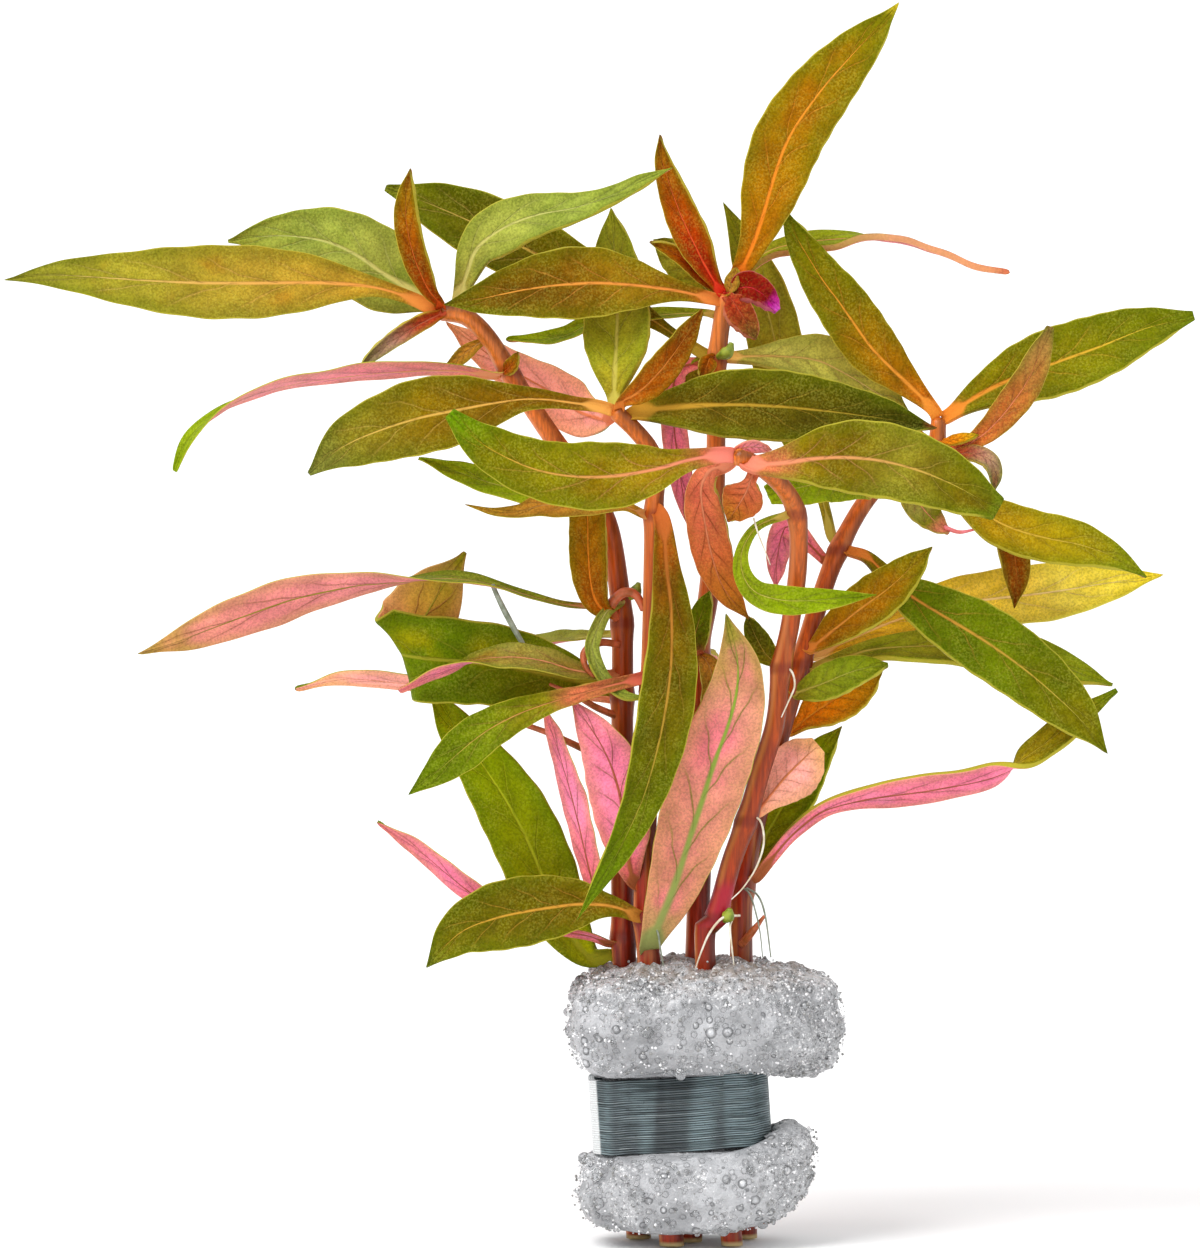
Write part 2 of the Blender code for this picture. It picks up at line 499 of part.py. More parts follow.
# More cross sections where a leaf folds or twists sharply
EXTRA_STATIONS = {"leaf_left_2": (0.59, 0.615, 0.634, 0.655, 0.68), "leaf_left_1": (0.59,)}

# How far a leaf's cross sections slant along it, where it is folded askew
SLANTS = {
    "leaf_left_2": ((0, 0), (0.3, 0), (0.59, 0.56), (0.634, 0), (0.68, 0.56), (1, 0)),
}

# The foam's outline at three sides, ring by ring from below: half width and height at
# its left, at its right, and at its front and back.
FOAM_RINGS = [
    ((7.0, 1.5), (6.0, 1.9), (6.0, 1.5)),
    ((11.5, 2.3), (10.5, 3.0), (9.3, 2.3)),
    ((13.4, 5.0), (13.4, 5.8), (10.8, 5.0)),
    ((13.2, 7.4), (14.8, 10.2), (11.0, 7.8)),
    ((12.4, 9.0), (14.4, 13.4), (10.0, 9.6)),
    ((11.7, 9.7), (12.4, 14.8), (8.8, 10.4)),
    ((11.4, 9.9), (10.8, 13.6), (8.0, 10.6)),
    ((11.0, 10.0), (10.6, 11.6), (7.0, 10.8)),
    ((10.4, 10.7), (8.2, 11.3), (5.9, 11.2)),
    ((11.0, 19.9), (8.2, 21.2), (5.9, 20.9)),
    ((11.2, 20.6), (8.6, 22.0), (6.6, 21.5)),
    ((11.7, 21.2), (10.4, 22.3), (7.8, 21.9)),
    ((12.4, 21.9), (10.9, 20.8), (9.0, 22.3)),
    ((13.3, 22.8), (13.6, 20.3), (10.0, 23.0)),
    ((14.3, 24.8), (17.2, 22.0), (11.2, 24.6)),
    ((14.5, 27.4), (18.3, 25.6), (11.6, 27.2)),
    ((13.8, 30.2), (17.6, 29.4), (11.2, 30.2)),
    ((12.2, 32.6), (15.2, 32.4), (9.8, 32.6)),
    ((9.4, 33.9), (11.0, 33.9), (7.4, 34.0)),
]


def place(x, depth, seen_height):
    """The point in metres that has this height as seen from the tilted view."""
    z = (seen_height - depth * math.sin(VIEW_TILT)) / math.cos(VIEW_TILT)
    return Vector((x, depth, z)) * MM


def smooth_curve(points):
    """Points close together on a smooth curve through the given points."""
    padded = [points[0] * 2 - points[1]] + points + [points[-1] * 2 - points[-2]]
    curve = []
    for i in range(len(points) - 1):
        a, b, c, d = padded[i:i + 4]
        for step in range(SPAN_STEPS):
            t = step / SPAN_STEPS
            curve.append(0.5 * (2 * b + (c - a) * t + (2 * a - 5 * b + 4 * c - d) * t ** 2
                                + (3 * b - 3 * c + d - a) * t ** 3))
    return curve + [points[-1].copy()]


def lengths_along(curve):
    """How far along the curve each of its points lies."""
    reached = [0.0]
    for a, b in zip(curve, curve[1:]):
        reached.append(reached[-1] + (b - a).length)
    return reached


def point_at(curve, reached, distance):
    """The point and the direction of the curve at this distance along it."""
    i = 1
    while i < len(curve) - 1 and reached[i] < distance:
        i += 1
    span = reached[i] - reached[i - 1]
    share = min(max((distance - reached[i - 1]) / span, 0.0), 1.0)
    before = curve[max(i - 2, 0)]
    after = curve[min(i + 1, len(curve) - 1)]
    return curve[i - 1].lerp(curve[i], share), (after - before).normalized()


def facing(looks, share):
    """The way the leaf's upper side looks at this share of its length."""
    if len(looks) == 1:
        return Vector(looks[0])
    for (start, before), (end, after) in zip(looks, looks[1:]):
        if share <= end:
            return Vector(before).lerp(Vector(after), (share - start) / (end - start))
    return Vector(looks[-1][1])


def slant_at(name, share):
    """How far along the leaf its cross section leans, for each millimetre across."""
    slants = SLANTS.get(name, ((0, 0), (1, 0)))
    for (start, before), (end, after) in zip(slants, slants[1:]):
        if share <= end:
            return before + (after - before) * (share - start) / (end - start)
    return slants[-1][1]


def width_at(widths, share):
    """The leaf's width at this share of its length, smooth between the given widths."""
    where = share * (len(widths) - 1)
    i = min(int(where), len(widths) - 2)
    t = where - i
    a = widths[max(i - 1, 0)]
    b = widths[i]
    c = widths[i + 1]
    d = widths[min(i + 2, len(widths) - 1)]
    return 0.5 * (2 * b + (c - a) * t + (2 * a - 5 * b + 4 * c - d) * t ** 2
                  + (3 * b - 3 * c + d - a) * t ** 3)


def link_mesh(name, bm, colour, roughness, metallic=0.0):
    """Makes a named object with its own material from finished geometry."""
    bmesh.ops.recalc_face_normals(bm, faces=bm.faces)
    mesh = bpy.data.meshes.new(name)
    bm.to_mesh(mesh)
    bm.free()
    mesh.shade_smooth()
    mesh.set_sharp_from_angle(angle=SMOOTH_ANGLE)
    material = bpy.data.materials.new(name)
    material.use_nodes = True
    shader = material.node_tree.nodes["Principled BSDF"]
    shader.inputs["Base Color"].default_value = (*COLOURS[colour], 1.0)
    shader.inputs["Roughness"].default_value = roughness
    shader.inputs["Metallic"].default_value = metallic
    mesh.materials.append(material)
    piece = bpy.data.objects.new(name, mesh)
    bpy.context.scene.collection.objects.link(piece)
    return piece


def bridge_rings(bm, rings):
    """Joins rings of as many vertices each into a wall and caps both ends."""
    for lower, upper in zip(rings, rings[1:]):
        for i in range(len(lower)):
            j = (i + 1) % len(lower)
            bm.faces.new((lower[i], lower[j], upper[j], upper[i]))
    bm.faces.new(reversed(rings[0]))
    bm.faces.new(rings[-1])


def stem_axis(name):
    """The stem's smooth axis, with a start straight up from its foot."""
    foot, points, _, _ = STEMS[name]
    start = Vector((*foot, 0.0)) * MM
    return smooth_curve([start] + [place(*point) for point in points])


def stem_radius(name, point, share):
    """The stem's radius in metres: it tapers, and it swells at its nodes."""
    _, _, (foot_radius, top_radius), node_heights = STEMS[name]
    radius = foot_radius + (top_radius - foot_radius) * share ** STEM_TAPER_POWER
    seen = (point.z * math.cos(VIEW_TILT) + point.y * math.sin(VIEW_TILT)) / MM
    for height in node_heights:
        radius *= 1 + NODE_SWELLING * math.exp(-((seen - height) / NODE_REACH) ** 2)
    return radius * MM


def stem_stations(name, curve, reached):
    """Distances of the stem's rings: evenly spaced, with more at each node."""
    count = round(reached[-1] / MM / STEM_RING_SPACING)
    stations = [reached[-1] * i / count for i in range(count + 1)]
    for height in STEMS[name][3]:
        for i, point in enumerate(curve):
            seen = (point.z * math.cos(VIEW_TILT) + point.y * math.sin(VIEW_TILT)) / MM
            if seen >= height:
                clearing = NODE_CLEARING * STEM_RING_SPACING * MM
                near = [s for s in stations if abs(s - reached[i]) < clearing]
                for station in near:
                    stations.remove(station)
                stations += [reached[i] + shift * MM for shift in (-NODE_REACH, 0, NODE_REACH)]
                break
    stations = sorted(s for s in stations if 0 < s < reached[-1])
    return [0.0] + stations + [reached[-1]]


def tube(curve, reached, stations, radii):
    """A closed round tube whose first ring lies flat."""
    bm = bmesh.new()
    rings = []
    side = Vector((1, 0, 0))
    for station, radius in zip(stations, radii):
        centre, along = point_at(curve, reached, station)
        if station == 0:
            along = Vector((0, 0, 1))
        side = (side - along * side.dot(along)).normalized()
        across = along.cross(side)
        ring = []
        for i in range(STEM_SIDES):
            angle = math.tau * i / STEM_SIDES
            offset = side * math.cos(angle) + across * math.sin(angle)
            ring.append(bm.verts.new(centre + offset * radius))
        rings.append(ring)
    bridge_rings(bm, rings)
    return bm


def make_stem(name):
    """One stem from its cut end to its crown."""
    curve = stem_axis(name)
    reached = lengths_along(curve)
    stations = stem_stations(name, curve, reached)
    radii = []
    for station in stations:
        centre, _ = point_at(curve, reached, station)
        radii.append(stem_radius(name, centre, station / reached[-1]))
    return link_mesh(name, tube(curve, reached, stations, radii), "stem", STEM_ROUGHNESS)


def make_channel_cutter(name):
    """The stem's lower part, wider by the gap and longer than the foam."""
    curve = stem_axis(name)
    inside = [point for point in curve if point.z < CHANNEL_TOP * MM]
    inside.insert(0, inside[0] - Vector((0, 0, CHANNEL_START * MM)))
    reached = lengths_along(inside)
    stations = [reached[-1] * i / (CHANNEL_RINGS - 1) for i in range(CHANNEL_RINGS)]
    radii = [(STEMS[name][2][0] + GAP) * MM] * len(stations)
    bm = tube(inside, reached, stations, radii)
    cutter = link_mesh(name + "_channel", bm, "foam", FOAM_ROUGHNESS)
    cutter.hide_render = True
    cutter.display_type = "WIRE"
    return cutter


def superellipse(angle, squareness):
    """A point on a rounded square of half width 1, at this angle."""
    power = 2 / squareness
    x = math.copysign(abs(math.cos(angle)) ** power, math.cos(angle))
    y = math.copysign(abs(math.sin(angle)) ** power, math.sin(angle))
    return x, y


def make_foam():
    """The foam strip round the stems, squeezed in at its waist by the band."""
    bm = bmesh.new()
    rings = []
    for left, right, front in FOAM_RINGS:
        ring = []
        for i in range(FOAM_SEGMENTS):
            angle = math.tau * i / FOAM_SEGMENTS
            across, deep = superellipse(angle, FOAM_SQUARENESS)
            side = right if across > 0 else left
            weight = abs(math.cos(angle)) ** FOAM_SIDE_WEIGHT
            height = front[1] + (side[1] - front[1]) * weight
            point = Vector((across * side[0], deep * front[0], height))
            ring.append(bm.verts.new(point * MM))
        rings.append(ring)
    bridge_rings(bm, rings)
    foam = link_mesh("foam_sleeve", bm, "foam", FOAM_ROUGHNESS)
    for name in STEMS:
        cut = foam.modifiers.new("channel", "BOOLEAN")
        cut.operation = "DIFFERENCE"
        cut.object = make_channel_cutter(name)
    return foam


def make_band():
    """The lead strip, bent round the foam with its ends lapped at the back."""
    bm = bmesh.new()
    lean = Matrix.Rotation(-BAND_LEAN, 3, "Y")
    middle = Vector((BAND_MIDDLE_X, 0, BAND_MIDDLE_HEIGHT))
    rings = []
    for step in range(BAND_STEPS + 1):
        turn = step / BAND_STEPS * (1 + BAND_LAP_TURN)
        angle = BAND_START + math.tau * turn
        x, y = superellipse(angle, BAND_SQUARENESS)
        lift = (BAND_THICKNESS + GAP) * min(max((turn - 1) / BAND_RISE_TURN + 1, 0), 1)
        ring = []
        for outward, up in ((0, -0.5), (1, -0.5), (1, 0.5), (0, 0.5)):
            grown = outward * BAND_THICKNESS + lift
            point = Vector((x * (BAND_HALF_WIDTH - BAND_THICKNESS + grown),
                            y * (BAND_HALF_DEPTH - BAND_THICKNESS + grown),
                            up * BAND_HEIGHT))
            ring.append(bm.verts.new((middle + lean @ point) * MM))
        rings.append(ring)
    bridge_rings(bm, rings)
    return link_mesh("weight_band", bm, "lead", LEAD_ROUGHNESS, metallic=LEAD_METALLIC)


def clear_of_stem(stem, base, leaving, up, half, thick):
    """Moves a leaf's first point until its end clears the stem by the gap."""
    curve = stem_axis(stem)
    reached = lengths_along(curve)
    nearest = min(range(len(curve)), key=lambda i: (curve[i] - base).length)
    axis = curve[nearest]
    _, along = point_at(curve, reached, reached[nearest])
    radius = stem_radius(stem, axis, reached[nearest] / reached[-1])
    across = leaving.cross(up).normalized()
    away = (base - axis).normalized()
    ahead = away.dot(along)
    out = (away - along * ahead).normalized()
    beside = GAP * MM + half * abs(across.dot(out)) + thick * abs(up.dot(out))
    beyond = GAP * MM + half * abs(across.dot(along)) + thick * abs(up.dot(along))
    if nearest > len(curve) - CROWN_POINTS and ahead > CROWN_RISE:
        aside = math.sqrt(max(1 - ahead ** 2, SMALLEST_SQUARE))
        return axis + away * min((radius + beside) / aside, beyond / ahead)
    return axis + along * (base - axis).dot(along) + out * (radius + beside)


def make_leaf(name):
    """One leaf: a thin closed blade along its midrib, thickest at the midrib."""
    stem, points, widths, colour, looks = LEAVES[name]
    path = [place(*point) for point in points]
    leaving = (path[1] - path[0]).normalized()
    up = facing(looks, 0).normalized()
    path[0] = clear_of_stem(stem, path[0], leaving, up, widths[0] / 2 * MM,
                            LEAF_THICKNESS / 2 * MM)
    curve = smooth_curve(path)
    reached = lengths_along(curve)
    cup = CUPPED_LEAVES.get(name, USUAL_CUP)
    bm = bmesh.new()
    rings = []
    for share in sorted(LEAF_STATIONS + EXTRA_STATIONS.get(name, ())):
        centre, along = point_at(curve, reached, share * reached[-1])
        up = facing(looks, share)
        up = (up - along * up.dot(along)).normalized()
        across = along.cross(up) + along * slant_at(name, share)
        half = width_at(widths, share) / 2 * MM
        thick = LEAF_THICKNESS / 2 * MM * (THICK_AT_BASE - THICKNESS_LOST_TO_TIP * share)
        raised = up * (cup * half)
        ring = [centre + across * half + raised, centre + up * thick,
                centre - across * half + raised, centre - up * thick]
        rings.append([bm.verts.new(point) for point in ring])
    tip = bm.verts.new(path[-1])
    for lower, upper in zip(rings, rings[1:]):
        for i in range(4):
            j = (i + 1) % 4
            bm.faces.new((lower[i], lower[j], upper[j], upper[i]))
    bm.faces.new(reversed(rings[0]))
    for i in range(4):
        bm.faces.new((rings[-1][i], rings[-1][(i + 1) % 4], tip))
    return link_mesh(name, bm, colour, LEAF_ROUGHNESS)


def main():
    for old in list(bpy.data.objects):
        bpy.data.objects.remove(old, do_unlink=True)
    for name in STEMS:
        make_stem(name)
    make_foam()
    make_band()
    for name in LEAVES:
        make_leaf(name)


main()
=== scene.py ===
import math
import random

import bpy
from mathutils import Matrix, Vector, noise


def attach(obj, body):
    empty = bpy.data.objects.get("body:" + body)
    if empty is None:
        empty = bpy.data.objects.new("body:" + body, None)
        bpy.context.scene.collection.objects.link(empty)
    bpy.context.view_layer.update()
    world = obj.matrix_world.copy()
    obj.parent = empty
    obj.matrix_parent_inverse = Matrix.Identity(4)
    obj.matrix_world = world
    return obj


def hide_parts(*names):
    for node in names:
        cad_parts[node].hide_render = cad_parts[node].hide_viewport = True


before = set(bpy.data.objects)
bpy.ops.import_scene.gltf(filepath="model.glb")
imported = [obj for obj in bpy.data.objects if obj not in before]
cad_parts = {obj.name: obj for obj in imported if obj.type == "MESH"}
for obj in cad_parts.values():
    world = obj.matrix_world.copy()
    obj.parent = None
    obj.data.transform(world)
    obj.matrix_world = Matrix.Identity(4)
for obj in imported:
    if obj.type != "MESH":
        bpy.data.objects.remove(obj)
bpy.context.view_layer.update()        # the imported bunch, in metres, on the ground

mm = 0.001
print("frame loaded:", len(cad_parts), "pieces")

# The view of the photograph: its tilt above level, and the middle and height of its frame
camera = dict(tilt=5.0, away=2500.0, middleX=-10.9, middleHeight=75.15, frameHeight=151.0,
              sensor=36.0, farthest=100.0)
viewTilt = math.radians(camera["tilt"])

# Small helpers for the materials


def addNode(tree, kind, **values):
    # a node with its settings, and its sockets by name or by number
    node = tree.nodes.new(kind)
    for key, value in values.items():
        if key != "sockets":
            setattr(node, key, value)
    for key, value in values.get("sockets", {}).items():
        socket = node.inputs[key]
        if isinstance(value, bpy.types.NodeSocket):
            tree.links.new(value, socket)
        else:
            socket.default_value = value
    return node


def paint(red, green, blue):
    # a colour given as it looks on screen, made linear for the shader
    return tuple((part / 255) ** 2.2 for part in (red, green, blue)) + (1.0,)


def maths(tree, operation, *values):
    node = addNode(tree, "ShaderNodeMath", operation=operation, sockets=dict(enumerate(values)))
    return node.outputs[0]


def times(tree, first, second):
    return maths(tree, "MULTIPLY", first, second)


def gap(tree, first, second):
    # how far apart two values are
    return maths(tree, "ABSOLUTE", maths(tree, "SUBTRACT", first, second))


def smoothStep(tree, value, low, high, start=0.0, end=1.0):
    node = addNode(tree, "ShaderNodeMapRange", interpolation_type="SMOOTHSTEP",
                   sockets={0: value, 1: low, 2: high, 3: start, 4: end})
    return node.outputs[0]


def blend(tree, share, first, second, way="MIX"):
    node = addNode(tree, "ShaderNodeMix", data_type="RGBA", blend_type=way,
                   sockets={0: share, 6: first, 7: second})
    return node.outputs[2]


def shaded(tree, colour, tone):
    return blend(tree, 1.0, colour, tone, "MULTIPLY")


def ramp(tree, value, stops):
    # each stop is its place and its red, green and blue
    node = addNode(tree, "ShaderNodeValToRGB", sockets={0: value})
    elements = node.color_ramp.elements
    while len(elements) < len(stops):
        elements.new(1.0)
    for element, (place, *colour) in zip(elements, stops):
        element.position = place
        element.color = paint(*colour)
    return node.outputs[0]


def cloud(tree, where, scale, detail, roughness=0.55):
    node = addNode(tree, "ShaderNodeTexNoise",
                   sockets={"Vector": where, "Scale": scale, "Detail": detail,
                            "Roughness": roughness})
    return node.outputs[0]


def cells(tree, where, scale, feature="F1"):
    node = addNode(tree, "ShaderNodeTexVoronoi", feature=feature,
                   sockets={"Vector": where, "Scale": scale})
    return node.outputs


def objectPlace(tree):
    return addNode(tree, "ShaderNodeTexCoord").outputs["Object"]


def ownMap(tree):
    return addNode(tree, "ShaderNodeUVMap", uv_map="UVMap").outputs[0]


def axes(tree, where):
    return addNode(tree, "ShaderNodeSeparateXYZ", sockets={0: where}).outputs


def stretch(tree, where, *scale):
    node = addNode(tree, "ShaderNodeMapping", sockets={"Vector": where, "Scale": scale})
    return node.outputs[0]


def newMaterial(name, values):
    # the values are those of the shader's own sockets
    material = bpy.data.materials.new(name)
    material.use_nodes = True
    tree = material.node_tree
    shader = tree.nodes["Principled BSDF"]
    for key, value in values.items():
        shader.inputs[key].default_value = value
    return material, tree, shader


def addBump(tree, shader, height, distance, strength):
    bump = addNode(tree, "ShaderNodeBump",
                   sockets={"Height": height, "Distance": distance, "Strength": strength})
    tree.links.new(bump.outputs[0], shader.inputs["Normal"])


def addGlow(tree, shader, colour, share):
    # light from behind shines through a thin leaf or a young stem
    through = addNode(tree, "ShaderNodeBsdfTranslucent", sockets={"Color": colour})
    mixed = addNode(tree, "ShaderNodeMixShader",
                    sockets={0: share, 1: shader.outputs[0], 2: through.outputs[0]})
    output = tree.nodes["Material Output"]
    tree.links.new(mixed.outputs[0], output.inputs["Surface"])


# What every leaf's skin has, upper side and underside alike, with the colour of its painted rim
# light and how dark the painted shade between its veins is
leafSkin = dict(roughness=0.58, shine=0.1, shineTint=(250, 236, 150), glow=0.16, veinPairs=6.5,
                veinLean=1.35, speckle=0.8, blotch=0.7, net=0.05, rim=(208, 196, 70),
                rimStrength=0.65, ribWidth=0.05, vein=0.36, patchSize=115, mottleSize=240,
                netSize=560, grain=4000, grit=0.8, gritSize=3600, velvet=(0.1, 0.1, 0.016, 1),
                edge=(92, 110, 10), edgeShare=0.4, paintedPillowShade=0.9, veinOffset=0.42, veinBend=0.75,
                relief=0.0002)


def tones(stops, ribStart, ribEnd, patch, **others):
    return dict(stops=stops, rib=(ribStart, ribEnd), patch=patch, **others)


# The finishes of the leaves' upper sides: colours from the stalk to the tip, the midrib
# at its start and its end, a second colour in soft patches, and for some the painted rim light
leafFinishes = {
    "farOlive": tones([(0, 200, 104, 40), (0.14, 178, 138, 42), (0.42, 170, 140, 46),
        (0.7, 154, 144, 42), (1, 132, 134, 40)], (238, 150, 70), (214, 190, 100), (172, 94, 14)),
    "greyGreen": tones([(0, 158, 140, 60), (0.2, 158, 160, 66), (0.6, 152, 166, 70),
        (1, 144, 156, 54)], (206, 196, 110), (190, 200, 110), (112, 132, 40)),
    "greyYellow": tones([(0, 222, 186, 84), (0.2, 204, 202, 92), (0.6, 186, 190, 80),
        (1, 150, 150, 50)], (232, 184, 96), (210, 200, 110), (160, 160, 60)),
    "youngRust": tones([(0, 168, 54, 12), (0.3, 160, 66, 4), (0.6, 160, 84, 4),
        (0.85, 146, 104, 12), (1, 120, 66, 16)], (228, 96, 40), (206, 120, 56), (120, 56, 2)),
    "youngRed": tones([(0, 180, 24, 16), (0.3, 170, 44, 4), (0.6, 172, 76, 4), (0.85, 148, 94, 14),
        (1, 120, 56, 14)], (240, 64, 44), (228, 120, 60), (128, 26, 2)),
    "crownGold": tones([(0, 210, 96, 18), (0.13, 180, 106, 4), (0.45, 154, 112, 2),
        (0.8, 134, 112, 4), (0.95, 118, 114, 8), (1, 200, 180, 40)], (250, 132, 40),
        (234, 160, 54), (170, 96, 1)),
    "crownOlive": tones([(0, 212, 104, 40), (0.14, 146, 108, 18), (0.35, 146, 112, 20),
        (0.55, 116, 78, 2), (0.8, 102, 82, 2), (1, 98, 94, 8)], (240, 144, 70), (220, 150, 60),
        (104, 66, 1)),
    "darkOlive": tones([(0, 128, 110, 16), (0.4, 108, 102, 6), (0.8, 90, 92, 3), (1, 98, 104, 12)],
        (184, 156, 54), (196, 172, 80), (72, 74, 1)),
    "middleOlive": tones([(0, 220, 134, 62), (0.13, 132, 96, 10), (0.38, 118, 84, 3),
        (0.6, 130, 104, 8), (0.85, 118, 112, 30), (1, 114, 122, 56)], (242, 174, 84),
        (206, 176, 80), (104, 70, 1)),
    "budBrown": tones([(0, 208, 104, 40), (0.3, 170, 84, 10), (0.6, 148, 72, 4), (1, 108, 58, 5)],
        (238, 144, 66), (208, 120, 50), (132, 50, 3)),
    "rustBrown": tones([(0, 230, 108, 66), (0.25, 208, 108, 54), (0.6, 182, 108, 50),
        (0.85, 170, 126, 64), (1, 130, 108, 52)], (244, 144, 110), (224, 136, 80), (146, 64, 8)),
    "deepOlive": tones([(0, 186, 130, 40), (0.1, 118, 98, 12), (0.3, 92, 76, 3), (0.65, 86, 80, 5),
        (0.85, 62, 62, 2), (0.96, 60, 64, 4), (1, 128, 70, 40)], (206, 154, 56), (150, 136, 44),
        (66, 56, 1)),
    "backGreen": tones([(0, 166, 144, 40), (0.3, 160, 162, 36), (0.7, 154, 152, 42),
        (1, 136, 142, 34)], (200, 190, 84), (186, 184, 76), (110, 112, 8)),
    "sideAmber": tones([(0, 166, 78, 4), (0.4, 150, 88, 1), (0.7, 144, 100, 2), (1, 112, 92, 3)],
        (232, 124, 40), (218, 136, 40), (120, 56, 0)),
    "longGreen": tones([(0, 158, 126, 52), (0.15, 124, 134, 36), (0.45, 122, 138, 40),
        (1, 124, 140, 40)], (206, 144, 90), (194, 190, 110), (90, 108, 20)),
    "spottedGreen": tones([(0, 146, 96, 36), (0.1, 108, 114, 6), (0.5, 94, 118, 2),
        (1, 98, 112, 6)], (164, 156, 46), (150, 156, 46), (160, 150, 10)),
    "dustyBrown": tones([(0, 168, 110, 50), (0.22, 146, 128, 54), (0.5, 148, 140, 64),
        (0.7, 122, 122, 24), (0.8, 200, 120, 84), (1, 232, 132, 116)], (228, 150, 100),
        (228, 150, 110), (140, 100, 30)),
    "lowGreen": tones([(0, 228, 110, 88), (0.3, 216, 118, 78), (0.4, 134, 122, 20),
        (0.6, 106, 120, 3), (1, 98, 122, 3)], (236, 120, 96), (166, 168, 56), (84, 100, 1)),
    "sunGreen": tones([(0, 128, 132, 20), (0.3, 126, 130, 4), (0.5, 138, 152, 2),
        (0.72, 134, 158, 2), (1, 120, 130, 6)], (150, 150, 40), (188, 204, 40), (176, 184, 6),
        edge=(86, 116, 4)),
    "lowOlive": tones([(0, 208, 118, 56), (0.14, 120, 96, 8), (0.5, 98, 88, 3), (0.85, 100, 98, 6),
        (1, 84, 104, 24)], (220, 146, 64), (196, 158, 54), (78, 66, 1)),
    "limeGreen": tones([(0, 200, 134, 66), (0.12, 138, 150, 28), (0.7, 130, 154, 12),
        (1, 130, 152, 12)], (212, 186, 90), (190, 200, 80), (104, 128, 4), edge=(142, 168, 24)),
    "limeToPink": tones([(0, 160, 140, 40), (0.3, 130, 140, 14), (0.5, 140, 154, 24),
        (0.62, 238, 162, 134), (1, 214, 104, 80)], (200, 180, 80), (226, 120, 96), (120, 128, 10),
        rim=(226, 160, 110), edgeShare=0.15),
    "driedAmber": tones([(0, 188, 134, 44), (0.4, 194, 132, 50), (1, 164, 118, 36)],
        (228, 172, 100), (206, 156, 80), (160, 146, 30)),
    "frontOlive": tones([(0, 236, 118, 114), (0.1, 226, 114, 84), (0.22, 146, 112, 18),
        (0.5, 134, 124, 8), (0.8, 112, 110, 3), (1, 94, 138, 8)], (238, 132, 114), (198, 168, 44),
        (120, 88, 2)),
    "frontMoss": tones([(0, 236, 118, 114), (0.1, 218, 114, 80), (0.22, 132, 108, 14),
        (0.42, 114, 94, 4), (0.62, 132, 124, 34), (0.82, 108, 102, 10), (1, 98, 110, 18)],
        (238, 138, 112), (186, 168, 60), (98, 76, 1)),
    "deepFront": tones([(0, 196, 96, 44), (0.12, 172, 92, 24), (0.26, 112, 84, 6),
        (0.6, 94, 94, 2), (0.85, 96, 118, 4), (1, 120, 150, 24)], (200, 108, 52), (156, 158, 54),
        (72, 66, 1)),
    "branchOlive": tones([(0, 232, 112, 36), (0.2, 184, 114, 5), (0.5, 132, 110, 1),
        (0.8, 112, 108, 2), (1, 98, 114, 5)], (244, 154, 60), (222, 156, 46), (110, 84, 0)),
    "branchGreen": tones([(0, 218, 142, 56), (0.13, 136, 126, 4), (0.5, 120, 118, 2),
        (0.85, 106, 112, 3), (0.97, 86, 104, 6), (1, 30, 50, 6)], (238, 144, 56), (206, 186, 54),
        (94, 94, 0)),
    "sideOlive": tones([(0, 162, 108, 24), (0.2, 118, 100, 6), (0.42, 160, 124, 8),
        (0.65, 156, 136, 14), (0.85, 132, 124, 12), (1, 102, 126, 18)], (220, 160, 56),
        (190, 172, 60), (120, 96, 2)),
    "paleGold": tones([(0, 222, 142, 12), (0.3, 226, 190, 46), (0.7, 232, 216, 80),
        (1, 204, 180, 36)], (244, 204, 116), (246, 228, 150), (216, 190, 40), glow=0.08,
        edge=(170, 160, 20)),
    "bigGreen": tones([(0, 210, 104, 40), (0.1, 132, 108, 10), (0.25, 98, 118, 6),
        (0.6, 102, 118, 5), (0.85, 114, 108, 3), (1, 98, 98, 6)], (220, 130, 56), (186, 174, 64),
        (78, 98, 1)),
    "rustyOlive": tones([(0, 218, 104, 38), (0.2, 168, 104, 8), (0.5, 146, 106, 2),
        (1, 122, 108, 5)], (232, 144, 64), (208, 156, 54), (164, 100, 2)),
    "paleGreen": tones([(0, 160, 138, 40), (0.3, 156, 166, 38), (0.6, 138, 156, 32),
        (1, 122, 132, 14)], (200, 184, 80), (176, 190, 76), (98, 118, 5)),
    "orangeGold": tones([(0, 228, 118, 26), (0.5, 228, 140, 14), (0.8, 210, 156, 20),
        (1, 146, 134, 10)], (240, 154, 50), (232, 160, 50), (196, 96, 3)),
    "magentaBud": tones([(0, 190, 50, 40), (0.35, 140, 20, 12), (0.74, 128, 14, 22),
        (0.86, 190, 30, 150), (1, 240, 96, 226)], (225, 70, 60), (190, 30, 60), (104, 8, 8),
        edge=(138, 20, 20), rim=(226, 130, 130), rimStrength=0.4),
    "boatBud": tones([(0, 206, 84, 62), (0.35, 176, 54, 34), (0.65, 146, 66, 34), (1, 92, 84, 40)],
        (228, 90, 70), (150, 90, 50), (140, 36, 26), edge=(150, 60, 34), rim=(226, 140, 110),
        rimStrength=0.5),
    "curledTip": tones([(0, 176, 50, 20), (0.35, 160, 60, 40), (0.6, 176, 130, 110),
        (1, 96, 112, 64)], (205, 90, 60), (190, 150, 120), (140, 50, 30)),
}
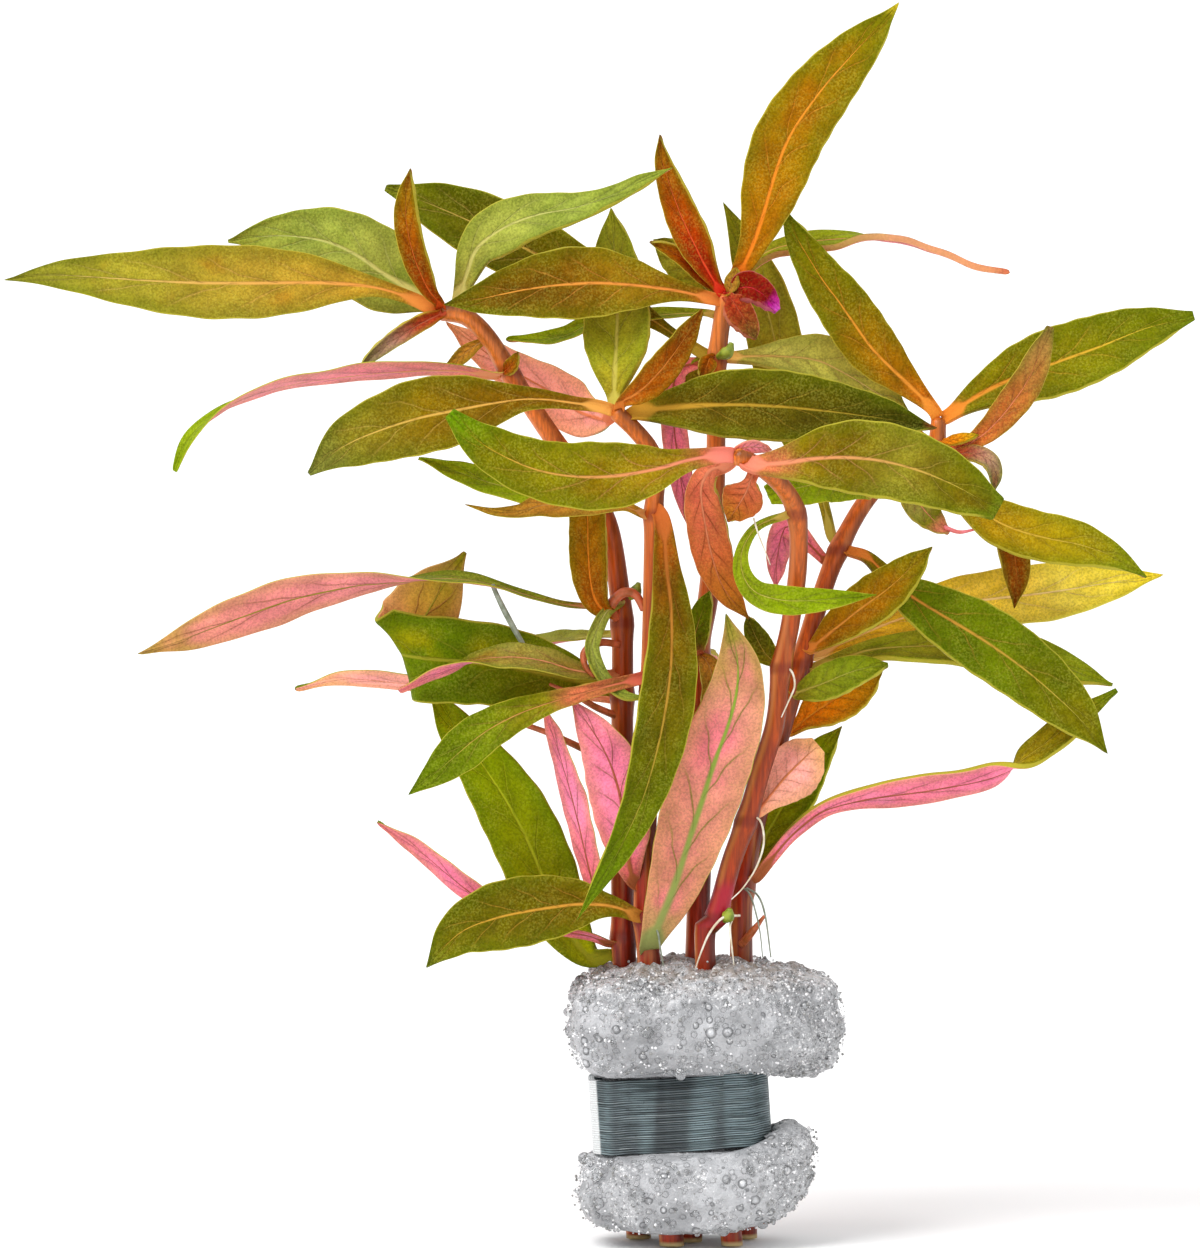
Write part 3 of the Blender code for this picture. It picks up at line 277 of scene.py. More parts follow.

# The undersides: pinker, with raised veins, a paler painted rim light and lighter painted shade
# between the veins
underSkin = dict(rim=(240, 178, 128), rimStrength=0.6, edge=(222, 158, 108), edgeShare=0.42,
                 speckle=0.4, net=0.12, vein=0.6, veinColour=(158, 104, 62), paintedPillowShade=0.94,
                 grit=0.85)
underFinishes = {
    "pinkUnder": tones([(0, 238, 136, 104), (0.3, 244, 138, 150), (0.7, 246, 142, 160),
        (1, 230, 146, 112)], (238, 160, 110), (224, 166, 116), (240, 156, 150)),
    "paleUnder": tones([(0, 246, 158, 116), (0.3, 255, 172, 148), (0.7, 255, 168, 156),
        (1, 244, 176, 114)], (232, 130, 90), (222, 136, 84), (255, 160, 160), glow=0.04,
        edge=(250, 186, 124), vein=0.3, veinColour=(214, 136, 90)),
    "hotPink": tones([(0, 220, 98, 80), (0.2, 238, 116, 130), (0.7, 244, 124, 158),
        (1, 232, 124, 124)], (170, 96, 60), (176, 96, 70), (250, 140, 180), glow=0.12,
        edge=(226, 156, 116)),
    "oliveRibPink": tones([(0, 196, 150, 90), (0.4, 238, 140, 146), (0.75, 240, 138, 134),
        (0.9, 200, 144, 84), (1, 158, 140, 50)], (160, 144, 54), (156, 140, 50), (242, 142, 136),
        edge=(186, 156, 80)),
    "greenRib": tones([(0, 134, 146, 76), (0.08, 178, 146, 92), (0.2, 214, 136, 108),
        (0.5, 240, 150, 130), (0.7, 238, 156, 130), (0.84, 182, 142, 74), (1, 126, 128, 36)],
        (154, 160, 94), (138, 172, 58), (242, 120, 138), blotch=0.8, veinColour=(124, 130, 46),
        vein=0.8, ribWidth=0.085, patchSize=80),
    "brownPink": tones([(0, 190, 130, 80), (0.62, 224, 146, 106), (0.76, 198, 150, 62),
        (1, 142, 136, 22)], (176, 152, 64), (156, 152, 50), (216, 146, 100)),
    "amberUnder": tones([(0, 224, 124, 92), (0.3, 216, 112, 80), (0.6, 200, 98, 56),
        (0.85, 180, 106, 34), (1, 150, 96, 20)], (236, 146, 110), (214, 124, 80), (206, 92, 70),
        veinColour=(150, 66, 36), edge=(196, 104, 50)),
    "rustUnder": tones([(0, 228, 112, 66), (0.4, 214, 112, 58), (0.8, 206, 106, 46),
        (1, 180, 92, 34)], (242, 144, 96), (226, 132, 74), (200, 88, 40)),
}


def makeLeafFinish(name, look, under=False):
    # veins and the midrib lie on the leaf's own map: along it and across it
    skin = dict(leafSkin, **look)
    material, tree, shader = newMaterial(name, {
        "Roughness": skin["roughness"], "Specular IOR Level": skin["shine"],
        "Specular Tint": paint(*skin["shineTint"])})
    along, side, _ = axes(tree, ownMap(tree))
    here = objectPlace(tree)
    wander = maths(tree, "SUBTRACT", cloud(tree, here, 160, 2.0), 0.5)
    signed = maths(tree, "MULTIPLY_ADD", side, 2.0, -1.0)
    out = maths(tree, "ABSOLUTE", signed)
    out = maths(tree, "MULTIPLY_ADD", wander, 0.03, out)
    # the ground colour, with soft patches and mottling
    shifted = maths(tree, "MULTIPLY_ADD", wander, 0.22, along)
    colour = ramp(tree, shifted, skin["stops"])
    patches = smoothStep(tree, cloud(tree, here, skin["patchSize"], 3.0), 0.48, 0.68)
    inside = smoothStep(tree, out, 0.95, 0.35)
    patches = times(tree, patches, times(tree, inside, skin["blotch"]))
    colour = blend(tree, patches, colour, paint(*skin["patch"]))
    nearEdge = smoothStep(tree, maths(tree, "MULTIPLY_ADD", wander, 0.5, out), 0.35, 1.0, 0.0,
                          skin["edgeShare"])
    colour = blend(tree, nearEdge, colour, paint(*skin["edge"]))
    mottle = cloud(tree, here, skin["mottleSize"], 3.0, 0.5)
    colour = shaded(tree, colour, smoothStep(tree, mottle, 0.3, 0.7, 0.84, 1.12))
    # side veins that leave the midrib in pairs and bend forward
    turned = times(tree, maths(tree, "GREATER_THAN", side, 0.5), skin["veinOffset"])
    bend = maths(tree, "POWER", out, skin["veinBend"])
    phase = maths(tree, "MULTIPLY_ADD", along, skin["veinPairs"], turned)
    phase = maths(tree, "MULTIPLY_ADD", bend, -skin["veinLean"], phase)
    phase = maths(tree, "MULTIPLY_ADD", wander, 0.8, phase)
    phase = maths(tree, "FRACT", maths(tree, "ADD", phase, 8.0))
    fromVein = gap(tree, phase, 0.5)
    # painted shade on the quilting: the skin is painted lighter where it swells between the veins
    # and darker towards them
    paintedQuiltShade = smoothStep(tree, fromVein, 0.0, 0.42, skin["paintedPillowShade"], 1.08)
    paintedQuiltShade = blend(tree, smoothStep(tree, out, 0.95, 0.5), (1.0, 1.0, 1.0, 1.0), paintedQuiltShade)
    colour = shaded(tree, colour, paintedQuiltShade)
    vein = smoothStep(tree, fromVein, 0.06, 0.0)
    veinFade = smoothStep(tree, out, 0.92, 0.25)
    veinStart = smoothStep(tree, along, 0.1, 0.24)
    vein = times(tree, vein, times(tree, veinFade, veinStart))
    # a faint net between them
    mesh = cells(tree, here, skin["netSize"], "DISTANCE_TO_EDGE")
    net = smoothStep(tree, mesh["Distance"], 0.1, 0.0, 0.0, skin["net"])
    ribColour = ramp(tree, along, [(0.05, *skin["rib"][0]), (0.85, *skin["rib"][1])])
    veinColour = paint(*skin["veinColour"]) if "veinColour" in skin else ribColour
    colour = blend(tree, net, colour, veinColour)
    colour = blend(tree, times(tree, vein, skin["vein"]), colour, veinColour)
    # velvet: fine pale dots, thicker in some places, over finer dark grit
    dots = smoothStep(tree, cloud(tree, here, skin["grain"], 1.0, 0.5), 0.44, 0.62)
    thick = smoothStep(tree, cloud(tree, here, 300, 2.0), 0.36, 0.62, 0.25, 1.0)
    dots = times(tree, times(tree, dots, thick), skin["speckle"])
    colour = blend(tree, dots, colour, blend(tree, 1.0, colour, skin["velvet"], "ADD"))
    grit = cloud(tree, here, skin["gritSize"], 2.0, 0.6)
    colour = shaded(tree, colour, smoothStep(tree, grit, 0.4, 0.56, skin["grit"], 1.06))
    # the midrib: the whole stalk at first, then a line that thins towards the tip
    limit = smoothStep(tree, along, 0.1, 1.0, skin["ribWidth"] * 1.2, skin["ribWidth"] * 0.35)
    limit = maths(tree, "ADD", limit, smoothStep(tree, along, 0.035, 0.11, 1.4, 0.0))
    limit = maths(tree, "ADD", limit, smoothStep(tree, along, 0.04, 0.34, 0.14, 0.0))
    rib = maths(tree, "DIVIDE", out, limit)
    ribMask = smoothStep(tree, rib, 1.5, 0.35)
    ribEnd = smoothStep(tree, along, 0.98, 0.8)
    colour = blend(tree, times(tree, ribMask, ribEnd), colour, ribColour)
    # a thin painted rim light: a pale line along the edge, as where light glows through the leaf
    rim = smoothStep(tree, out, 0.94, 0.985)
    rimFade = smoothStep(tree, along, 0.08, 0.26, 0.0, skin["rimStrength"])
    rimFade = times(tree, rimFade, smoothStep(tree, along, 0.985, 0.93))
    colour = blend(tree, times(tree, rim, rimFade), colour, paint(*skin["rim"]))
    tree.links.new(colour, shader.inputs["Base Color"])
    # veins sink on the upper side and stand up on the underside
    raised = 1.0 if under else -1.0
    height = times(tree, vein, raised * 0.5)
    height = maths(tree, "MULTIPLY_ADD", ribMask, raised * 0.6, height)
    height = maths(tree, "MULTIPLY_ADD", net, raised * 0.8, height)
    height = maths(tree, "MULTIPLY_ADD", cloud(tree, here, 2600, 3.0), 0.6, height)
    addBump(tree, shader, height, skin["relief"], 0.9)
    addGlow(tree, shader, colour, skin["glow"])
    return material


finishes = {}
for finishName, finishLook in leafFinishes.items():
    finishes[finishName] = makeLeafFinish(finishName, finishLook)
for finishName, finishLook in underFinishes.items():
    finishes[finishName] = makeLeafFinish(finishName, dict(underSkin, **finishLook), True)
print("leaf finishes made:", len(finishes))

# Each stem: its foot on the ground, the points it rises through as (x, depth, height) in
# millimetres, the radii of its foot and its top, and the heights of its nodes
stems = {
    "stem_left": ((-6.2, 3.4), [(-8, 1.8, 34), (-8.2, 2, 60), (-8.2, 2.2, 74), (-8.7, 2.2, 80),
        (-10, 2.3, 87), (-12.7, 2.4, 92), (-16.6, 2.6, 97.4), (-19.7, 2.8, 102), (-22, 3, 105.6),
        (-24.4, 3, 109.5), (-27, 3, 112), (-30, 3, 112.6)], (1.5, 1.05), (37, 66, 75, 105.5)),
    "stem_middle": ((-2.2, -4.4), [(-5, -2.4, 34), (-5.5, -2.2, 45), (-5, -2, 60), (-4.6, -2, 75),
        (-4.4, -2, 88), (-4.1, -2.6, 92), (-4.6, -3, 95.5), (-6.4, -3.6, 98), (-8.9, -4, 100.4)],
        (1.5, 1), (39, 67, 88)),
    "stem_tall": ((0, 0), [(0.8, 2.2, 34), (1.3, 3.2, 50), (1.2, 4, 62), (1, 4.5, 71),
        (2.2, 4.6, 78), (2.8, 4.6, 85), (3.1, 4.6, 92), (3.2, 4.5, 100), (3.3, 4.4, 107),
        (4.3, 4.2, 114.5)], (1.5, 1.05), (71, 107)),
    "stem_front": ((5.1, -4.2), [(1.8, -3.2, 34.5), (3.2, -3.4, 39.3), (5, -3.6, 46),
        (6.8, -3.8, 51), (8.5, -4, 57), (10.3, -4.2, 63), (11, -4.4, 69.5), (12.1, -4.8, 75),
        (13, -5.4, 82), (12.8, -6.4, 88), (11, -9, 91.5), (8, -12, 94), (5.6, -14, 95)],
        (1.3, 1.05), (39.3, 51, 69.5, 88)),
    "stem_right": ((6.7, 3.6), [(6.2, 2, 34.5), (6.4, 2, 43), (7.9, 2.2, 51), (9.6, 2.6, 57),
        (11.6, 3, 64), (13.4, 3.4, 70), (15.5, 4, 77), (18, 5, 83.8), (21.5, 6, 90),
        (26, 7.2, 94.5), (29.6, 8, 96.3), (30.2, 8, 99.5)], (1.5, 0.95), (43, 70, 83.8, 96.3)),
}

# A smooth curve has this many steps from one of its given points to the next
spanSteps = 14


def place(x, depth, seenHeight):
    # heights are given as they look from the tilted view
    z = (seenHeight - depth * math.sin(viewTilt)) / math.cos(viewTilt)
    return Vector((x, depth, z)) * mm


def between(a, b, c, d, t):
    # smoothly from b to c, where a comes before them and d after
    return 0.5 * (2 * b + (c - a) * t + (2 * a - 5 * b + 4 * c - d) * t ** 2
                  + (3 * b - 3 * c + d - a) * t ** 3)


def smoothCurve(points):
    padded = [points[0] * 2 - points[1]] + points + [points[-1] * 2 - points[-2]]
    curve = []
    for i in range(len(points) - 1):
        for step in range(spanSteps):
            curve.append(between(*padded[i:i + 4], step / spanSteps))
    return curve + [points[-1].copy()]


def lengthsAlong(curve):
    reached = [0.0]
    for a, b in zip(curve, curve[1:]):
        reached.append(reached[-1] + (b - a).length)
    return reached


def pointAt(curve, reached, distance):
    i = 1
    while i < len(curve) - 1 and reached[i] < distance:
        i += 1
    share = (distance - reached[i - 1]) / (reached[i] - reached[i - 1])
    before = curve[max(i - 2, 0)]
    after = curve[min(i + 1, len(curve) - 1)]
    spot = curve[i - 1].lerp(curve[i], min(max(share, 0.0), 1.0))
    return spot, (after - before).normalized()


def facing(looks, share):
    if len(looks) == 1:
        return Vector(looks[0])
    for (start, before), (end, after) in zip(looks, looks[1:]):
        if share <= end:
            return Vector(before).lerp(Vector(after), (share - start) / (end - start))
    return Vector(looks[-1][1])


def stepBetween(steps, share):
    for (start, before), (end, after) in zip(steps, steps[1:]):
        if share <= end:
            return before + (after - before) * (share - start) / (end - start)
    return steps[-1][1]


def widthAt(widths, share):
    where = share * (len(widths) - 1)
    i = min(int(where), len(widths) - 2)
    after = widths[min(i + 2, len(widths) - 1)]
    return between(widths[max(i - 1, 0)], widths[i], widths[i + 1], after, where - i)


def addGrid(name, rows, columns, placeAt):
    # a grid of rows along and columns across, laid where the function says
    bpy.ops.object.select_all(action="DESELECT")
    bpy.ops.mesh.primitive_grid_add(x_subdivisions=rows, y_subdivisions=columns, size=1.0)
    piece = bpy.context.active_object
    piece.name = name
    piece.data.name = name
    for vertex in piece.data.vertices:
        vertex.co = placeAt(vertex.co.x + 0.5, vertex.co.y + 0.5)
    return piece


def closeSeams(apart, closed=True):
    # the faces of a closed piece are turned outwards too
    bpy.ops.object.mode_set(mode="EDIT")
    bpy.ops.mesh.select_all(action="SELECT")
    bpy.ops.mesh.remove_doubles(threshold=apart)
    if closed:
        bpy.ops.mesh.normals_make_consistent(inside=False)
    bpy.ops.object.mode_set(mode="OBJECT")


def applyModifier(piece, name, kind, **values):
    modifier = piece.modifiers.new(name, kind)
    for key, value in values.items():
        setattr(modifier, key, value)
    bpy.ops.object.modifier_apply(modifier=name)


def finishPiece(piece, materials, slotName, node=None):
    # materials, smooth shading, the root body, and the imported part it stands for hidden
    for material in materials:
        piece.data.materials.append(material)
    bpy.ops.object.shade_smooth()
    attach(piece, "root")
    if node:
        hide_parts(node)


def stemAxis(name):
    foot, points = stems[name][:2]
    return smoothCurve([Vector((*foot, 0.0)) * mm] + [place(*point) for point in points])


def stemRadius(name, spot, share):
    footRadius, topRadius = stems[name][2]
    radius = footRadius + (topRadius - footRadius) * share ** 1.5
    seen = (spot.z * math.cos(viewTilt) + spot.y * math.sin(viewTilt)) / mm
    for height in stems[name][3]:
        off = seen - height
        radius *= 1 + stemLook["swelling"] * math.exp(-(off / stemLook["swellingLength"]) ** 2)
        radius *= 1 + stemLook["collar"] * math.exp(-(off / stemLook["collarLength"]) ** 2)
    return radius * mm


# Stems: rows of the tube for each millimetre, corners round it, how far a node's swelling
# and collar stand out and reach in millimetres, how deep the fine ridges are, and colours,
# among them a painted highlight and painted shade on opposite sides of each stem
stemLook = dict(rowsPerMm=1.1, around=20, collar=0.07, ridge=0.02, cutRows=3,
                colours=[(0, 186, 58, 24), (0.1, 176, 54, 18), (0.27, 150, 48, 8),
                         (0.36, 160, 42, 14), (0.45, 174, 64, 8), (0.62, 190, 84, 16),
                         (0.8, 216, 112, 38), (1, 230, 134, 62)], colourHeight=0.118,
                cut=(222, 196, 140), nodeColour=(112, 26, 8), haze=(232, 146, 76),
                fuzz=0.22, fuzzTint=(255, 160, 80), pale=(238, 146, 84), paintedHighlightTurn=0.56,
                paintedShadeTurn=0.9, crimson=(186, 24, 58), crimsonStem="stem_front",
                crimsonHeight=0.0415, fibres=2600, swelling=0.16, swellingLength=1.6,
                collarLength=0.4, glow=0.16)


def makeStemFinish(name):
    material, tree, shader = newMaterial(name + "Skin", {
        "Roughness": 0.34, "Specular IOR Level": 0.4, "Sheen Weight": stemLook["fuzz"],
        "Sheen Roughness": 0.3, "Sheen Tint": paint(*stemLook["fuzzTint"])})
    here = objectPlace(tree)
    _, depth, rise = axes(tree, here)
    height = maths(tree, "DIVIDE", rise, stemLook["colourHeight"])
    wander = maths(tree, "SUBTRACT", cloud(tree, here, 120, 3.0), 0.5)
    shifted = maths(tree, "MULTIPLY_ADD", wander, 0.35, height)
    colour = ramp(tree, shifted, stemLook["colours"])
    # fibres run up the stem
    drawnOut = stretch(tree, here, 1, 1, 0.06)
    fibres = cloud(tree, drawnOut, stemLook["fibres"], 3.0, 0.6)
    colour = shaded(tree, colour, smoothStep(tree, fibres, 0.3, 0.7, 0.68, 1.26))
    # painted highlight and painted shade: one side of each stem is painted paler, as if lit, and
    # the other a darker red, as if shaded
    turn = maths(tree, "MULTIPLY_ADD", wander, 0.06, axes(tree, ownMap(tree))[1])
    pale = smoothStep(tree, gap(tree, turn, stemLook["paintedHighlightTurn"]), 0.09, 0.0, 0.0, 0.8)
    colour = blend(tree, pale, colour, paint(*stemLook["pale"]))
    dark = smoothStep(tree, gap(tree, turn, stemLook["paintedShadeTurn"]), 0.2, 0.02, 1.0, 0.42)
    colour = shaded(tree, colour, dark)
    # paler streaks
    streaks = smoothStep(tree, cloud(tree, drawnOut, 620, 2.0), 0.55, 0.72, 0.0, 0.35)
    colour = blend(tree, streaks, colour, paint(*stemLook["haze"]))
    # one stem is crimson above its lowest node
    if name == stemLook["crimsonStem"]:
        far = gap(tree, rise, stemLook["crimsonHeight"])
        colour = blend(tree, smoothStep(tree, far, 0.0035, 0.0015, 0.0, 0.75), colour,
                       paint(*stemLook["crimson"]))
    # the nodes are darker
    seen = maths(tree, "MULTIPLY_ADD", depth, math.sin(viewTilt),
                 times(tree, rise, math.cos(viewTilt)))
    marks = 0.0
    for nodeHeight in stems[name][3]:
        mark = smoothStep(tree, gap(tree, seen, nodeHeight * mm), 0.0011, 0.0002)
        marks = maths(tree, "MAXIMUM", marks, mark)
    colour = blend(tree, times(tree, marks, 0.55), colour, paint(*stemLook["nodeColour"]))
    # the cut end is pale
    cut = smoothStep(tree, rise, 0.0007, 0.0002)
    colour = blend(tree, cut, colour, paint(*stemLook["cut"]))
    tree.links.new(colour, shader.inputs["Base Color"])
    addBump(tree, shader, fibres, 0.00012, 0.7)
    addGlow(tree, shader, colour, stemLook["glow"])
    return material


def growStem(name):
    curve = stemAxis(name)
    reached = lengthsAlong(curve)
    total = reached[-1]
    look = stemLook
    rows = round(total / mm * look["rowsPerMm"]) + look["cutRows"]
    frames = []
    side = Vector((1, 0, 0))
    for row in range(rows + 1):
        share = min(max((row - look["cutRows"]) / (rows - look["cutRows"] - 2), 0.0), 1.0)
        spot, along = pointAt(curve, reached, share * total)
        if share == 0:
            along = Vector((0, 0, 1))
        side = (side - along * side.dot(along)).normalized()
        radius = stemRadius(name, spot, share)
        # the cut face is dished, and the top closes to a small dome
        if row < look["cutRows"]:
            radius *= (0.0, 0.5, 0.93)[row]
            spot = spot + along * (0.00025, 0.0002, 0.0)[row]
        if row == rows - 1:
            radius *= 0.7
            spot = spot + along * 0.4 * radius
        if row == rows:
            spot = spot + along * 0.55 * radius
            radius = 0.0
        frames.append((spot, side.copy(), along.cross(side), radius))

    def placeAt(share, turn):
        spot, sideways, across, radius = frames[round(share * rows)]
        angle = math.tau * turn
        ridge = 1 + look["ridge"] * math.sin(5 * angle + spot.z * 40)
        offset = sideways * math.cos(angle) + across * math.sin(angle)
        return spot + offset * radius * ridge

    piece = addGrid(name + "_skin", rows, look["around"], placeAt)
    closeSeams(0.00001)
    finishPiece(piece, [makeStemFinish(name)], name, name)


for stemName in stems:
    growStem(stemName)
print("stems grown:", len(stems))

# Which way a leaf's upper side looks
toView = [(0, -1, 0.35)]
away = [(0, 1, 0.1)]


def lance(widest):
    return tuple(widest * part for part in (0.18, 0.36, 0.72, 0.94, 1.0, 0.88, 0.56, 0.0))


